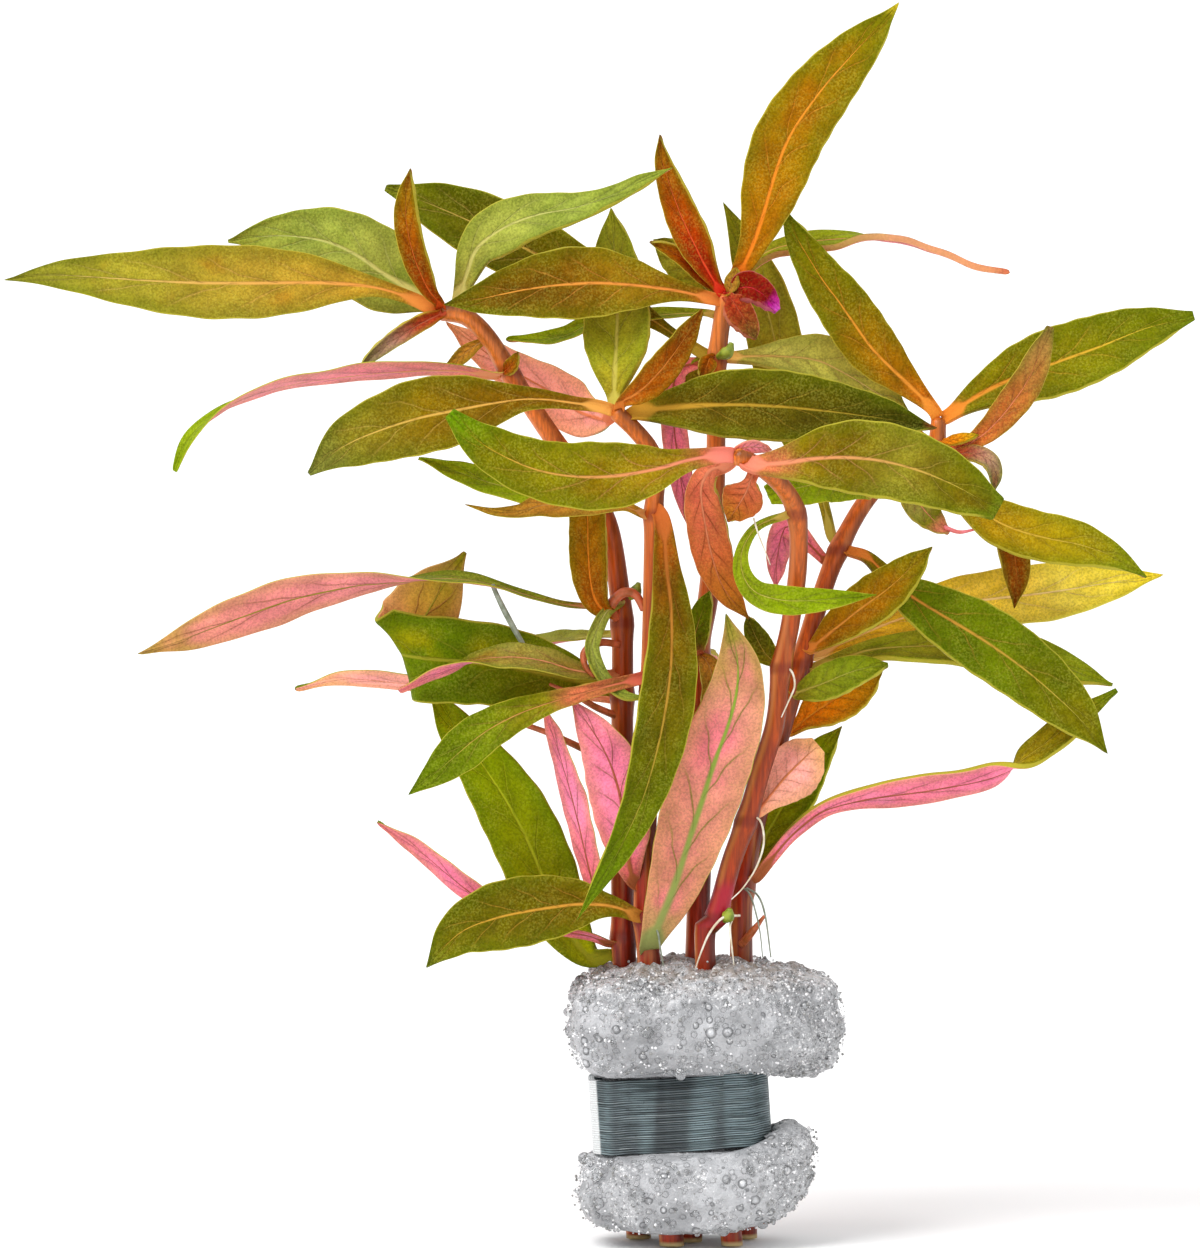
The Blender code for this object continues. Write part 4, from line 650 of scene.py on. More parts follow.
# Each leaf: its stem, its midrib's points from the stem to the tip as (x, depth, height),
# its widths evenly spaced along it, the finishes of its upper side and its underside, and
# which way the upper side looks, as one direction or as (share of the length, direction).
# Without the last two the underside is pink and the upper side looks to the view
leaves = {
    "leaf_far_left_1": ("stem_left", [(-31, 2.2, 112.8), (-33.2, 2.2, 114), (-37.5, 1.8, 115.4),
        (-42.4, 1.2, 116), (-48, 0.4, 116.1), (-54.5, -0.8, 116), (-61.7, -2.2, 116.1),
        (-69, -3.6, 116.5), (-76.7, -5, 116.9), (-83, -6, 116.3)],
        (1.7, 2.4, 6.8, 9.3, 9, 6.8, 3.9, 0), "farOlive"),
    "leaf_far_left_2": ("stem_left", [(-30.6, 4.8, 113.2), (-33.5, 5.6, 115.2), (-37, 6.4, 117.2),
        (-40, 7, 119.3), (-43.5, 7.4, 121), (-47.7, 7.5, 121.8), (-52, 7.4, 121.8),
        (-56, 7, 121.2)], (2, 7.6, 10, 9.8, 8.6, 6.4, 3.6, 0.4), "greyGreen"),
    "leaf_far_left_3": ("stem_left", [(-30.6, 1.4, 113.9), (-31.5, 0.4, 115), (-32.6, -0.2, 117.2),
        (-33.6, -0.6, 120), (-34.3, -0.8, 123.5), (-34.3, -1, 126.5), (-33.8, -1.2, 130)],
        (1.3, 2.2, 3, 3.2, 3.2, 2.8, 1.8, 0), "youngRust", "rustUnder"),
    "leaf_far_left_4": ("stem_left", [(-28, 3.8, 114.2), (-27.1, 3.9, 117), (-25.7, 3.9, 120.4),
        (-22.5, 3.7, 122.8), (-18.6, 3.2, 124.3), (-13.8, 2.6, 125.2), (-9.4, 1.9, 126.7),
        (-6.1, 1.3, 128.3), (-1.9, 0.6, 130.1)], (1.6, 3.8, 6.4, 5.8, 4.1, 2.6, 1.8, 0),
        "greyGreen"),
    "leaf_far_left_5": ("stem_left", [(-23.2, 1.8, 104.9), (-26, 1.2, 105.3), (-30, 0.4, 105.6),
        (-36, -0.4, 105.4), (-42, -1.2, 104.8), (-48, -2, 103.9), (-53, -2.6, 102.4),
        (-57.5, -3, 99.9), (-60.5, -3, 97.2), (-62.2, -3, 93.2)],
        (1.4, 4.6, 6.6, 7, 6.4, 5, 3.4, 0.8), "limeGreen", "pinkUnder", [(0, (0, 0.36, 1)),
        (0.6, (0, 0.3, 1)), (0.8, (-0.5, 0, 0.8)), (1, (-0.8, -0.6, 0.2))]),
    "leaf_top_1": ("stem_tall", [(5.1, 3.6, 115.8), (7, 2.8, 119.4), (8.5, 2.2, 123.3),
        (9.9, 1.6, 128.1), (11.4, 1, 132.5), (13.3, 0.4, 135.9), (16.2, -0.2, 139.8),
        (19.1, -0.6, 143.1), (23, -1.2, 147.3), (25.3, -1.5, 150)],
        (1.8, 3.6, 6.8, 8.4, 8.2, 7, 4.4, 0), "crownGold", "rustUnder", [(0.1, -1, 0.15)]),
    "leaf_top_2": ("stem_tall", [(3.3, 3.2, 115.7), (1.9, 2.8, 118), (0.4, 2.6, 121),
        (-1, 2.6, 124), (-2.3, 2.6, 127.4), (-3.4, 2.6, 131), (-3.7, 2.6, 134.2)],
        (1.4, 2.8, 4.1, 4.3, 3.8, 3, 1.8, 0), "youngRed", "rustUnder", [(0.1, -1, 0.1)]),
    "leaf_top_3": ("stem_tall", [(2.6, 3.2, 114.2), (-2, 1.6, 115.2), (-8, 0.4, 115.9),
        (-13, -0.4, 116), (-19, -0.8, 115.4), (-25, -1, 114.2), (-30, -1, 113.4)],
        (1.6, 2.8, 6.2, 8.8, 8.9, 7, 4, 0), "crownOlive"),
    "leaf_top_4": ("stem_tall", [(5.6, 5.4, 115.8), (7, 7, 118.2), (10, 8.4, 120.2),
        (13.5, 9, 121), (17, 9, 121.4), (21, 9, 121.6), (26, 8.6, 121), (31, 8, 119.5),
        (35, 7.2, 118), (38.8, 6.6, 117.4)], (1.4, 2.2, 4, 4.8, 3.8, 1.8, 0.9, 0.3), "limeToPink",
        "pinkUnder", [(0, (0, -0.6, 1)), (0.4, (0, -0.5, 1)), (0.55, (0, 0.25, 1)),
        (1, (0, 0.25, 1))]),
    "leaf_top_5": ("stem_tall", [(4.9, 4.4, 107.2), (10, 6, 107.3), (15, 8, 106.9),
        (18.5, 9, 105.4), (22.5, 9.8, 103), (27, 10.5, 100.2)],
        (1.4, 2.4, 4.6, 6.4, 7.4, 6.6, 4.2, 0), "greyYellow"),
    "leaf_top_6": ("stem_tall", [(1.9, 5, 107.4), (-1.5, 6, 109.6), (-6, 7.5, 112.6),
        (-12, 9, 116.2), (-19, 10, 119.9), (-26, 10.8, 123.4), (-32, 11.2, 126),
        (-37, 11.5, 127.8)], (1.6, 1.6, 4.4, 7.2, 8.6, 8.4, 6, 0.8), "darkOlive"),
    "leaf_middle_1": ("stem_middle", [(-10.8, -4.4, 101.1), (-13.3, -4.8, 101.4),
        (-18.6, -5.4, 102), (-23, -6, 101.6), (-27.8, -6.8, 100.7), (-32.2, -7.4, 99.8),
        (-36.8, -8, 98.4), (-41.9, -8.6, 96.2), (-46, -9, 92.9)], (1.6, 2, 4, 8, 9.6, 8.4, 6, 0.6),
        "middleOlive"),
    "leaf_middle_2": ("stem_middle", [(-8.2, -5.2, 101.8), (-6.4, -5.9, 102.8), (-4.4, -6, 104.6),
        (-2.4, -5.6, 107), (-0.6, -5, 109.6), (1.4, -4.2, 113)],
        (1.4, 3.2, 4.2, 4.3, 4, 3.2, 2, 0), "budBrown", "rustUnder", [(0.4, -1, -0.2)]),
    "leaf_middle_3": ("stem_middle", [(-7.2, -4, 100.3), (-3, -4.2, 100.9), (3, -4.6, 101.3),
        (9, -4.6, 101.2), (15, -4.4, 100.7), (20, -4, 100.1), (25, -3.4, 99.4), (30, -2.8, 98.5)],
        (1.7, 5, 8.2, 9.1, 8.4, 6.8, 4.2, 0), "deepOlive", "rustUnder"),
    "leaf_middle_4": ("stem_middle", [(-9.2, -2.6, 102), (-9.1, -0.8, 105.5), (-8.9, 1.6, 109),
        (-8.8, 3.2, 113), (-9, 4.4, 118), (-9.6, 5, 125.4)],
        (1.6, 5.2, 7.8, 8.2, 7.4, 5.8, 3.6, 0), "backGreen", "pinkUnder", [(-0.1, -1, 0.1)]),
    "leaf_middle_5": ("stem_middle", [(-10, -2.6, 99.6), (-11.2, 0.6, 99.8), (-13.8, 4.6, 100.8),
        (-17.2, 6.4, 103.2), (-21.1, 7, 105.4), (-24.5, 7, 107.6), (-29.7, 6.8, 111.6)],
        (1.4, 4.2, 6.4, 6.2, 5.2, 4.2, 2.8, 0), "limeGreen", "paleUnder", away),
    "leaf_left_1": ("stem_left", [(-9.8, 2.2, 76.8), (-14.7, 1.4, 77), (-19.2, 0.4, 78.1),
        (-23.7, -1, 79.5), (-27.8, -1.6, 80.2), (-31.5, -2.2, 80.3), (-35.1, -2.4, 80),
        (-39.6, -2.6, 79.7), (-44.2, -2.6, 78.8), (-48.7, -2.6, 77.7), (-53.2, -2.6, 76.1),
        (-57.8, -2.7, 74.4), (-62.5, -2.9, 72.6), (-67, -3, 71.2)],
        (1.2, 1.4, 3.4, 4.6, 5, 6, 4.4, 0), "longGreen", "oliveRibPink", [(0, (0, -0.2, 1)),
        (0.33, (0, -0.3, 1)), (0.5, (0, 0.6, 0.9)), (0.67, (0, 1, 0.5)), (1, (0, 1, 0.4))]),
    "leaf_left_2": ("stem_left", [(-9.8, 3, 67), (-14, 2.6, 68.2), (-20, 1.8, 69.4),
        (-26, 0.8, 70.2), (-31, 0.6, 70.6), (-34.2, 1.2, 71), (-35, 2.6, 71.4), (-34.2, 4.2, 72.4),
        (-32, 5, 76), (-29.8, 5.4, 79.6), (-27.2, 5.6, 83.6)],
        (1.8, 6.4, 9.4, 10.4, 10.6, 10.4, 7.2, 0.4), "spottedGreen", "brownPink",
        [(0, (0, -1, 0.2)), (0.59, (0, -1, 0.1)), (0.634, (-0.86, 0, -0.5)), (0.68, (0, 1, 0)),
        (1, (0, 1, 0))]),
    "leaf_left_3": ("stem_left", [(-10, 0.2, 68.6), (-14, -1.2, 69.2), (-18, -1.9, 70.4),
        (-22, -2.2, 70.8), (-26, -2.2, 70.4), (-31, -2.6, 68.8), (-35.3, -2.8, 66.8)],
        (1.2, 2.8, 4.2, 4.4, 3.8, 3, 2.2, 0.6), "dustyBrown", "hotPink", [(0, (0, -0.7, 0.8)),
        (0.5, (0, -0.6, 0.8)), (0.8, (0, 0.5, 0.9)), (1, (0, 0.5, 0.9))]),
    "leaf_left_4": ("stem_left", [(-9.4, 4.4, 65.8), (-18, 7, 66.8), (-26, 8.2, 67.4),
        (-35, 8.6, 67.8), (-42, 8, 68.3), (-48, 7, 67)], (1.3, 1.6, 3, 4.4, 4.6, 4.2, 3.2, 0.4),
        "longGreen", "paleUnder", [(0, 0.5, 0.9)]),
    "leaf_left_5": ("stem_middle", [(-6.2, -3.4, 68.2), (-10, -4.2, 67.3), (-14, -4.6, 66.2),
        (-18, -4.8, 65), (-22, -5, 63.4), (-25.5, -5, 61.3), (-28.5, -5, 58.8), (-31.5, -5, 56.2),
        (-34.2, -5, 54.1)], (1.6, 1.8, 2.4, 3.6, 5, 5.6, 3.6, 0), "lowGreen", "pinkUnder",
        [(0, -1, 0.4)]),
    "leaf_left_6": ("stem_left", [(-9.8, 1.8, 34.9), (-11.4, 2, 34.2), (-12.8, 2.2, 34.9),
        (-14.6, 2.4, 37.4), (-16.6, 2.7, 41), (-18.6, 3, 46), (-20.9, 3.4, 51), (-24.2, 3.8, 56.4),
        (-28.6, 4.2, 62.5), (-32, 4.4, 68)], (1.6, 5.4, 8.4, 8.8, 8.4, 6.6, 4.2, 0), "sunGreen",
        "pinkUnder", [(0.1, -1, 0.2)]),
    "leaf_left_7": ("stem_left", [(-9.8, 0.2, 36.2), (-12, -1, 37.1), (-16, -1.8, 37.9),
        (-21, -2.2, 39.4), (-26.6, -2.4, 42.5), (-32.6, -2.4, 47.4), (-38, -2.4, 51.1)],
        (1.1, 1.2, 1.8, 2.8, 3.6, 3.4, 2.2, 0), "longGreen", "hotPink", [(0.5, 0.8, 0.6)]),
    "leaf_left_8": ("stem_middle", [(-6.2, -3.6, 39.4), (-9, -4.8, 40.6), (-13, -5.4, 41),
        (-18, -5.8, 40.4), (-23.5, -6.2, 39.3), (-28, -6.4, 37.4), (-32, -6.6, 33.2)],
        (1.6, 2.8, 6.4, 8.4, 8.8, 7.4, 4.4, 0), "lowOlive"),
    "leaf_left_9": ("stem_left", [(-9.6, 0, 76.2), (-11, -1.2, 77), (-11.9, -1.8, 79.2),
        (-12.3, -1.8, 83), (-12.4, -1.6, 88), (-12.7, -1.2, 95)],
        (1.4, 3.2, 4.3, 4.7, 4.6, 4.2, 3, 0), "sideAmber", "rustUnder", [(-0.1, -1, 0)]),
    "leaf_left_10": ("stem_middle", [(-5.6, -2.8, 91.2), (-10, -3.6, 90.8), (-15, -4, 90.6),
        (-19, -4.4, 90.8), (-24, -4.8, 91.8), (-28.5, -5, 93.3), (-33, -5.2, 94.9)],
        (1.4, 2, 3.8, 4.8, 4.8, 4, 2.4, 0), "limeGreen", "pinkUnder", [(0, -0.8, 0.9)]),
    "leaf_left_11": ("stem_middle", [(-5.7, -2.8, 88), (-8, -5.6, 89), (-11, -9, 89.3),
        (-14.5, -9.8, 89.3), (-18, -10.2, 89.1), (-21, -10.4, 88.3), (-24, -10.4, 88.4),
        (-27.3, -10.4, 89.3)], (1.2, 1.4, 2.4, 3.8, 3.6, 2, 1, 0), "driedAmber", "rustUnder",
        [(0, -0.9, 0.6)]),
    "leaf_front_1": ("stem_front", [(4, -14.8, 95.2), (0, -15.4, 94.6), (-4, -16, 93.5),
        (-8.5, -16.6, 92.7), (-13, -17.2, 92.5), (-18, -17.8, 93.2), (-22.5, -18.2, 95),
        (-26, -18.4, 97.2), (-29, -18.5, 100.2)], (2, 3.2, 7, 8.6, 8, 6.8, 5, 1.6), "frontOlive"),
    "leaf_front_2": ("stem_front", [(7.4, -14.8, 94), (11, -15.8, 94.2), (16, -16.4, 94.8),
        (21, -17, 94.7), (26, -17.6, 93.7), (31, -18, 91.8), (37, -18.4, 88.6)],
        (2.2, 4.4, 7.8, 9.4, 9.4, 8.2, 6.2, 3), "frontMoss"),
    "leaf_front_3": ("stem_front", [(7.2, -12.6, 92.2), (6.8, -12, 91), (5.9, -11.4, 89.4),
        (4.4, -11, 87.2)], (1.4, 2.6, 4.4, 5.2, 4.8, 3.8, 2.2, 0), "budBrown", "amberUnder", away),
    "leaf_front_4": ("stem_front", [(4.2, -13.2, 93.8), (2.4, -12, 93.4), (1.3, -10.4, 91),
        (1.9, -9, 86.5), (2.8, -8.2, 82.5), (4.2, -7.8, 79), (7.2, -7.2, 75.3)],
        (1.5, 2.8, 4.4, 5.2, 5.2, 4.4, 2.8, 0), "budBrown", "amberUnder", [(0.3, 1, 0.1)]),
    "leaf_front_5": ("stem_front", [(11.4, -7.4, 87.9), (9.4, -9, 87.3), (7.6, -10, 86.2),
        (6.2, -10.4, 83.6), (6.3, -10.6, 80.8), (8, -10.6, 78.6), (11.5, -10.2, 77.7),
        (16, -9.6, 77.8), (22.7, -8.8, 78.4)], (1, 1.1, 1.7, 2.7, 3.6, 3.1, 1.8, 0), "limeGreen",
        "pinkUnder", [(-0.1, -1, 0.1)]),
    "leaf_low_1": ("stem_left", [(-9.8, 0, 40), (-11.2, -1.2, 42), (-12.3, -1.8, 46),
        (-13.7, -2.2, 52), (-15.5, -2.4, 58.5), (-17.8, -2.4, 65.5)],
        (1.2, 2.6, 3.8, 4.4, 4.2, 3.4, 2.2, 0), "longGreen", "hotPink", [(0.8, 0.7, 0)]),
    "leaf_low_2": ("stem_middle", [(-6.7, -3.1, 43.4), (-7.4, -4.4, 46), (-7.9, -5, 50),
        (-8.7, -5, 55), (-10.6, -4.6, 60), (-14.5, -3.6, 66)],
        (1.5, 4, 6.4, 7.4, 7.2, 5.6, 3.2, 0), "longGreen", "hotPink", away),
    "leaf_low_3": ("stem_middle", [(-3.7, -3.9, 88.4), (-3.2, -5.4, 86), (-2.9, -7.6, 82),
        (-2.3, -9.6, 76), (-2.4, -11.2, 69.5), (-3.4, -12.2, 62.5), (-5.4, -12.6, 54.8),
        (-8.2, -12.2, 48.4), (-10.8, -11.4, 44), (-13.9, -10.4, 38.8)],
        (2, 3.4, 5.6, 6.8, 6.2, 4.4, 2.4, 0), "deepFront", "rustUnder", [(0.05, -1, 0.1)]),
    "leaf_low_4": ("stem_middle", [(-5, -4.2, 35.6), (-3.8, -5.6, 38.6), (-2, -6.6, 43),
        (-0.2, -7.4, 48.6), (1.4, -8, 53.5), (3, -8.4, 58.5), (4.6, -8.8, 62.8), (5.6, -9.4, 67),
        (5.6, -10.2, 71), (4.2, -11.6, 76.4)], (2.4, 5.6, 7.8, 9.2, 9.4, 8, 5, 0), "longGreen",
        "greenRib", [(-0.1, 1, 0.1)]),
    "leaf_right_1": ("stem_right", [(29.4, 7.4, 101), (25.4, 6.4, 104.9), (22, 5.6, 108.3),
        (18.2, 4.8, 113.6), (15.7, 4.4, 117), (12.8, 3.8, 121.8), (11.1, 3.6, 125.4)],
        (1.7, 3.6, 6.2, 6.9, 6.5, 5.1, 3.2, 0.3), "branchOlive", "rustUnder"),
    "leaf_right_2": ("stem_right", [(31.6, 8, 100.3), (35, 8.4, 102.6), (40, 8.8, 105),
        (44.5, 9.2, 106.6), (50, 9.6, 108.6), (55, 10, 110.6), (61.2, 10.4, 112.3)],
        (1.7, 4.2, 7.2, 8.6, 8.4, 7, 4.6, 1.2), "branchGreen"),
    "leaf_right_3": ("stem_right", [(31.2, 7.2, 95.8), (34, 6.6, 96.8), (36.6, 5.6, 98.8),
        (39, 4.8, 101.6), (41.2, 4, 105), (43.6, 3.2, 110.9)], (1.3, 2, 3, 3.8, 4.2, 3.8, 2.8, 1),
        "rustBrown", "rustUnder", [(0.3, -1, 0.2)]),
    "leaf_right_4": ("stem_right", [(26.6, 5.6, 93.4), (30, 4.6, 92), (33.5, 3.2, 89.9),
        (36.6, 2, 87.6), (39.9, 1.2, 86.1), (43.8, 0.4, 85.1), (47.7, -0.4, 84.3), (52, -1, 82.6),
        (55.2, -1.4, 80.5)], (1.4, 2, 4.2, 6, 6.2, 5.6, 3.2, 0.2), "sideOlive"),
    "leaf_right_5": ("stem_right", [(14.9, 4.8, 71), (18, 6.4, 72.3), (24, 8, 74.9),
        (30, 8.8, 76.8), (36, 9, 77.8), (43, 9, 78.6), (50, 9, 79.7), (57.8, 9, 80.9)],
        (1.4, 2.2, 4.4, 6.6, 7.2, 7, 4.4, 0), "paleGold"),
    "leaf_right_6": ("stem_right", [(19.3, 4.2, 83.7), (21.5, 3.2, 83), (24, 2, 80.5),
        (26.5, 1, 78.4), (30, 0, 76.2), (35, -1, 73.2), (40, -2, 69.7), (44.5, -2.8, 65.9),
        (48, -3.4, 62.4), (50.6, -4, 59)], (1.3, 2.4, 6, 8.2, 8.6, 7.6, 5.2, 0), "bigGreen"),
    "leaf_right_7": ("stem_right", [(14.6, 2.2, 71.9), (17, 1, 73.8), (20.5, 0, 76.6),
        (24.5, -1.2, 79.6), (29.3, -2.4, 84.3)], (1.4, 3.2, 4.8, 5.8, 5.8, 4.8, 3, 0),
        "rustyOlive"),
    "leaf_right_8": ("stem_right", [(14.8, 3.4, 69.5), (18, 3.8, 70.5), (22, 4.4, 71.7),
        (27, 4.8, 72.1), (32, 5, 72.1), (38, 5, 71.4), (44, 4.8, 70), (51.5, 4.4, 67.4)],
        (1.4, 2.6, 4, 5.4, 6.2, 6, 4.2, 0), "paleGreen", "pinkUnder", [(0, -0.8, 0.7)]),
    "leaf_right_9": ("stem_right", [(12.2, 4, 61.8), (14.5, 5.2, 63.6), (18, 6.2, 66),
        (23.5, 7, 69.3)], lance(6.2), "orangeGold", "rustUnder"),
    "leaf_right_10": ("stem_right", [(8, 3.4, 45.8), (9, 4.8, 48.5), (10.9, 5.8, 52),
        (13.1, 6.6, 55.5), (15.4, 7.2, 58.8), (18.6, 7.6, 62.6)],
        (1.4, 4.4, 6, 6.4, 6, 4.6, 2.6, 0), "sunGreen"),
    "leaf_right_11": ("stem_front", [(8.2, -2.8, 52.2), (9.8, -2.2, 54.2), (11.6, -1.9, 56.4),
        (13.6, -1.6, 58.4), (15.6, -1.3, 60.2)], (1.5, 2.6, 4.4, 6, 6.8, 6.4, 5.2, 2), "longGreen",
        "paleUnder", [(0.3, 1, 0)]),
    "leaf_right_12": ("stem_right", [(7.8, 1, 43.8), (10, 0, 46.6), (12.4, -0.5, 49.4),
        (16, -0.9, 52.2), (20, -1.2, 53.4), (24, -1.2, 54.1), (28, -1.2, 54.6), (31.5, -1.2, 55.2),
        (35.1, -1.1, 55.9), (38.3, -0.9, 57), (40.8, -0.8, 58.8), (43.8, -0.6, 61),
        (47.3, -0.2, 63.8), (51.7, 0.2, 66.9)], (1.5, 1.8, 2.8, 4.4, 4.2, 3.8, 3.6, 0.6),
        "sideOlive", "hotPink", [(0, (0, 0.9, 0.6)), (0.64, (0, 0.9, 0.6)),
        (0.76, (0.1, -0.8, 0.7)), (1, (0.3, -1, 0.4))]),
    "leaf_right_13": ("stem_right", [(21.6, 4.4, 90.6), (19.4, 2, 91.4), (16, -0.6, 91.8),
        (12.6, -3, 91.2), (9.3, -5, 90.4)], (1.4, 2.6, 4, 4.8, 5, 4.8, 4, 2.6), "limeGreen"),
    "leaf_back_1": ("stem_right", [(17.2, 6.4, 85.2), (16.6, 7.2, 88), (15.4, 8.4, 92),
        (13, 9.8, 97), (11.3, 10.6, 102), (10.6, 11, 108), (8.8, 11.2, 115), (6.5, 11.2, 121),
        (3.9, 10.8, 126.3)], (1.3, 1.4, 3.2, 5.6, 6.8, 6.2, 3.8, 0), "backGreen", "pinkUnder",
        [(-0.1, -1, 0.2)]),
    "leaf_back_2": ("stem_tall", [(4, 6.4, 100.6), (7, 13, 101.2), (12, 22, 101.6),
        (17, 31, 101.4), (21, 39, 100.6)], lance(8.4), "crownOlive", "pinkUnder", [(0, -0.35, 1)]),
    "leaf_back_3": ("stem_left", [(-9.4, 4.4, 73.4), (-14, 11, 73), (-20, 19, 72), (-26, 28, 71),
        (-31, 37, 69.6)], lance(8.8), "backGreen", "hotPink", [(0, -0.35, 1)]),
    "leaf_back_4": ("stem_tall", [(1.2, 6.6, 71.6), (0.4, 13, 71), (-0.6, 22, 69.4),
        (-1.6, 31, 66)], lance(8), "middleOlive", "pinkUnder", [(0, -0.4, 1)]),
}

# The leaf's make: rows along it, columns across it, thicknesses in millimetres, how far its
# edges ripple, how deep its skin is quilted between the veins and grooved along the midrib
leafMake = dict(rows=42, columns=12, stalkThick=1.15, bladeThick=0.3, ribThick=0.62,
                leastThick=0.12, cup=0.12, ripple=0.16, quilt=0.09, groove=0.07,
                grooveWidth=0.12, wavyEdge=0.018, root=0.45)
cups = {"leaf_right_11": 0.7, "leaf_top_2": 0.35, "leaf_far_left_3": 0.35,
        "magenta_leaf": 0.35, "boat_leaf": 0.5, "red_sliver": 0.5, "curled_leaf_far_left": 0.4}
slants = {"leaf_left_2": ((0, 0), (0.3, 0), (0.59, 0.56), (0.634, 0), (0.68, 0.56), (1, 0))}
moreRows = {"leaf_left_2": 84, "leaf_left_1": 64, "leaf_right_12": 60, "leaf_low_3": 56,
            "leaf_top_1": 52, "leaf_far_left_1": 56}


def rootedPath(stem, path):
    # the stalk starts inside its stem
    curve = stemAxis(stem)
    reached = lengthsAlong(curve)
    nearest = min(range(len(curve)), key=lambda i: (curve[i] - path[0]).length)
    axis = curve[nearest]
    radius = stemRadius(stem, axis, reached[nearest] / reached[-1])
    return [axis + (path[0] - axis).normalized() * radius * leafMake["root"]] + path


def growLeaf(name, seed, node, stem, points, widths, upper, under="pinkUnder", looks=toView):
    # with a node the leaf stands for the solid of its name, which is then hidden
    curve = smoothCurve(rootedPath(stem, [place(*point) for point in points]))
    reached = lengthsAlong(curve)
    total = reached[-1]
    rooted = reached[spanSteps]
    make = leafMake
    rows = moreRows.get(name, make["rows"])
    cup = cups.get(name, make["cup"])
    tilt = slants.get(name, ((0, 0), (1, 0)))
    rand = random.Random(seed)
    waves = [rand.uniform(0, math.tau) for _ in range(3)]
    pace = rand.uniform(2.6, 3.8)
    widest = max(widths)
    frames = []
    for row in range(rows + 1):
        distance = total * row / rows
        share = min(max((distance - rooted) / (total - rooted), 0.0), 1.0)
        centre, along = pointAt(curve, reached, distance)
        up = facing(looks, share)
        up = (up - along * up.dot(along)).normalized()
        across = up.cross(along) - along * stepBetween(tilt, share)
        half = max(widthAt(widths, share), 0.0) / 2 * mm
        frames.append((centre, up, across, half, share))

    def placeAt(share, side):
        centre, up, across, half, part = frames[round(share * rows)]
        out = 2 * side - 1
        blade = min(1.0, max(0.0, (part - 0.08) / 0.15)) * min(1.0, widest / 5)
        blade *= min(1.0, half / (0.9 * mm))
        lift = cup * half * abs(out) ** 1.4
        phase = math.tau * pace * share
        ripple = math.sin(phase + waves[0]) * (1 if out > 0 else -0.6)
        ripple += 0.6 * math.sin(phase * 1.9 + waves[1])
        lift += make["ripple"] * mm * ripple * out * out * blade
        veinPhase = share * leafSkin["veinPairs"]
        veinPhase -= leafSkin["veinLean"] * abs(out) ** leafSkin["veinBend"]
        veinPhase += leafSkin["veinOffset"] if side > 0.5 else 0.0
        quilt = math.cos(math.tau * veinPhase) * math.sin(math.pi * min(abs(out), 1.0))
        lift += make["quilt"] * mm * quilt * blade
        lift -= make["groove"] * mm * math.exp(-(out / make["grooveWidth"]) ** 2) * blade
        edge = 1 + make["wavyEdge"] * math.sin(phase * 3.1 + waves[2]) * blade
        return centre + across * (half * out * edge) + up * lift

    piece = addGrid(name + ("_blade" if node else ""), rows, make["columns"], placeAt)
    # thick at the stalk and along the midrib, thin elsewhere
    group = piece.vertex_groups.new(name="thick")
    columns = make["columns"]
    for vertex in piece.data.vertices:
        row = vertex.index // (columns + 1)
        column = vertex.index % (columns + 1)
        share = frames[row][4]
        rib = 1.0 if column == columns // 2 else 0.0
        stalk = max(0.0, 1 - share / 0.16) ** 0.8
        blade = make["bladeThick"] * (1 - 0.45 * share)
        thick = blade + rib * (make["ribThick"] - make["bladeThick"]) * (1 - share) ** 0.7
        thick += (min(make["stalkThick"], widths[0] * 0.85) - thick) * stalk
        thick = max(thick, make["leastThick"])
        group.add([vertex.index], thick / make["stalkThick"], "REPLACE")
    closeSeams(0.000004, False)
    piece.data.materials.append(finishes[upper])
    piece.data.materials.append(finishes[under])
    applyModifier(piece, "thickness", "SOLIDIFY", thickness=make["stalkThick"] * mm, offset=0.0,
                  vertex_group="thick", material_offset=1, use_even_offset=False)
    applyModifier(piece, "smooth", "SUBSURF", levels=1, render_levels=1)
    finishPiece(piece, [], name if node else stem, name if node else None)


for number, leafName in enumerate(leaves):
    growLeaf(leafName, number, True, *leaves[leafName])
print("leaves grown:", len(leaves))

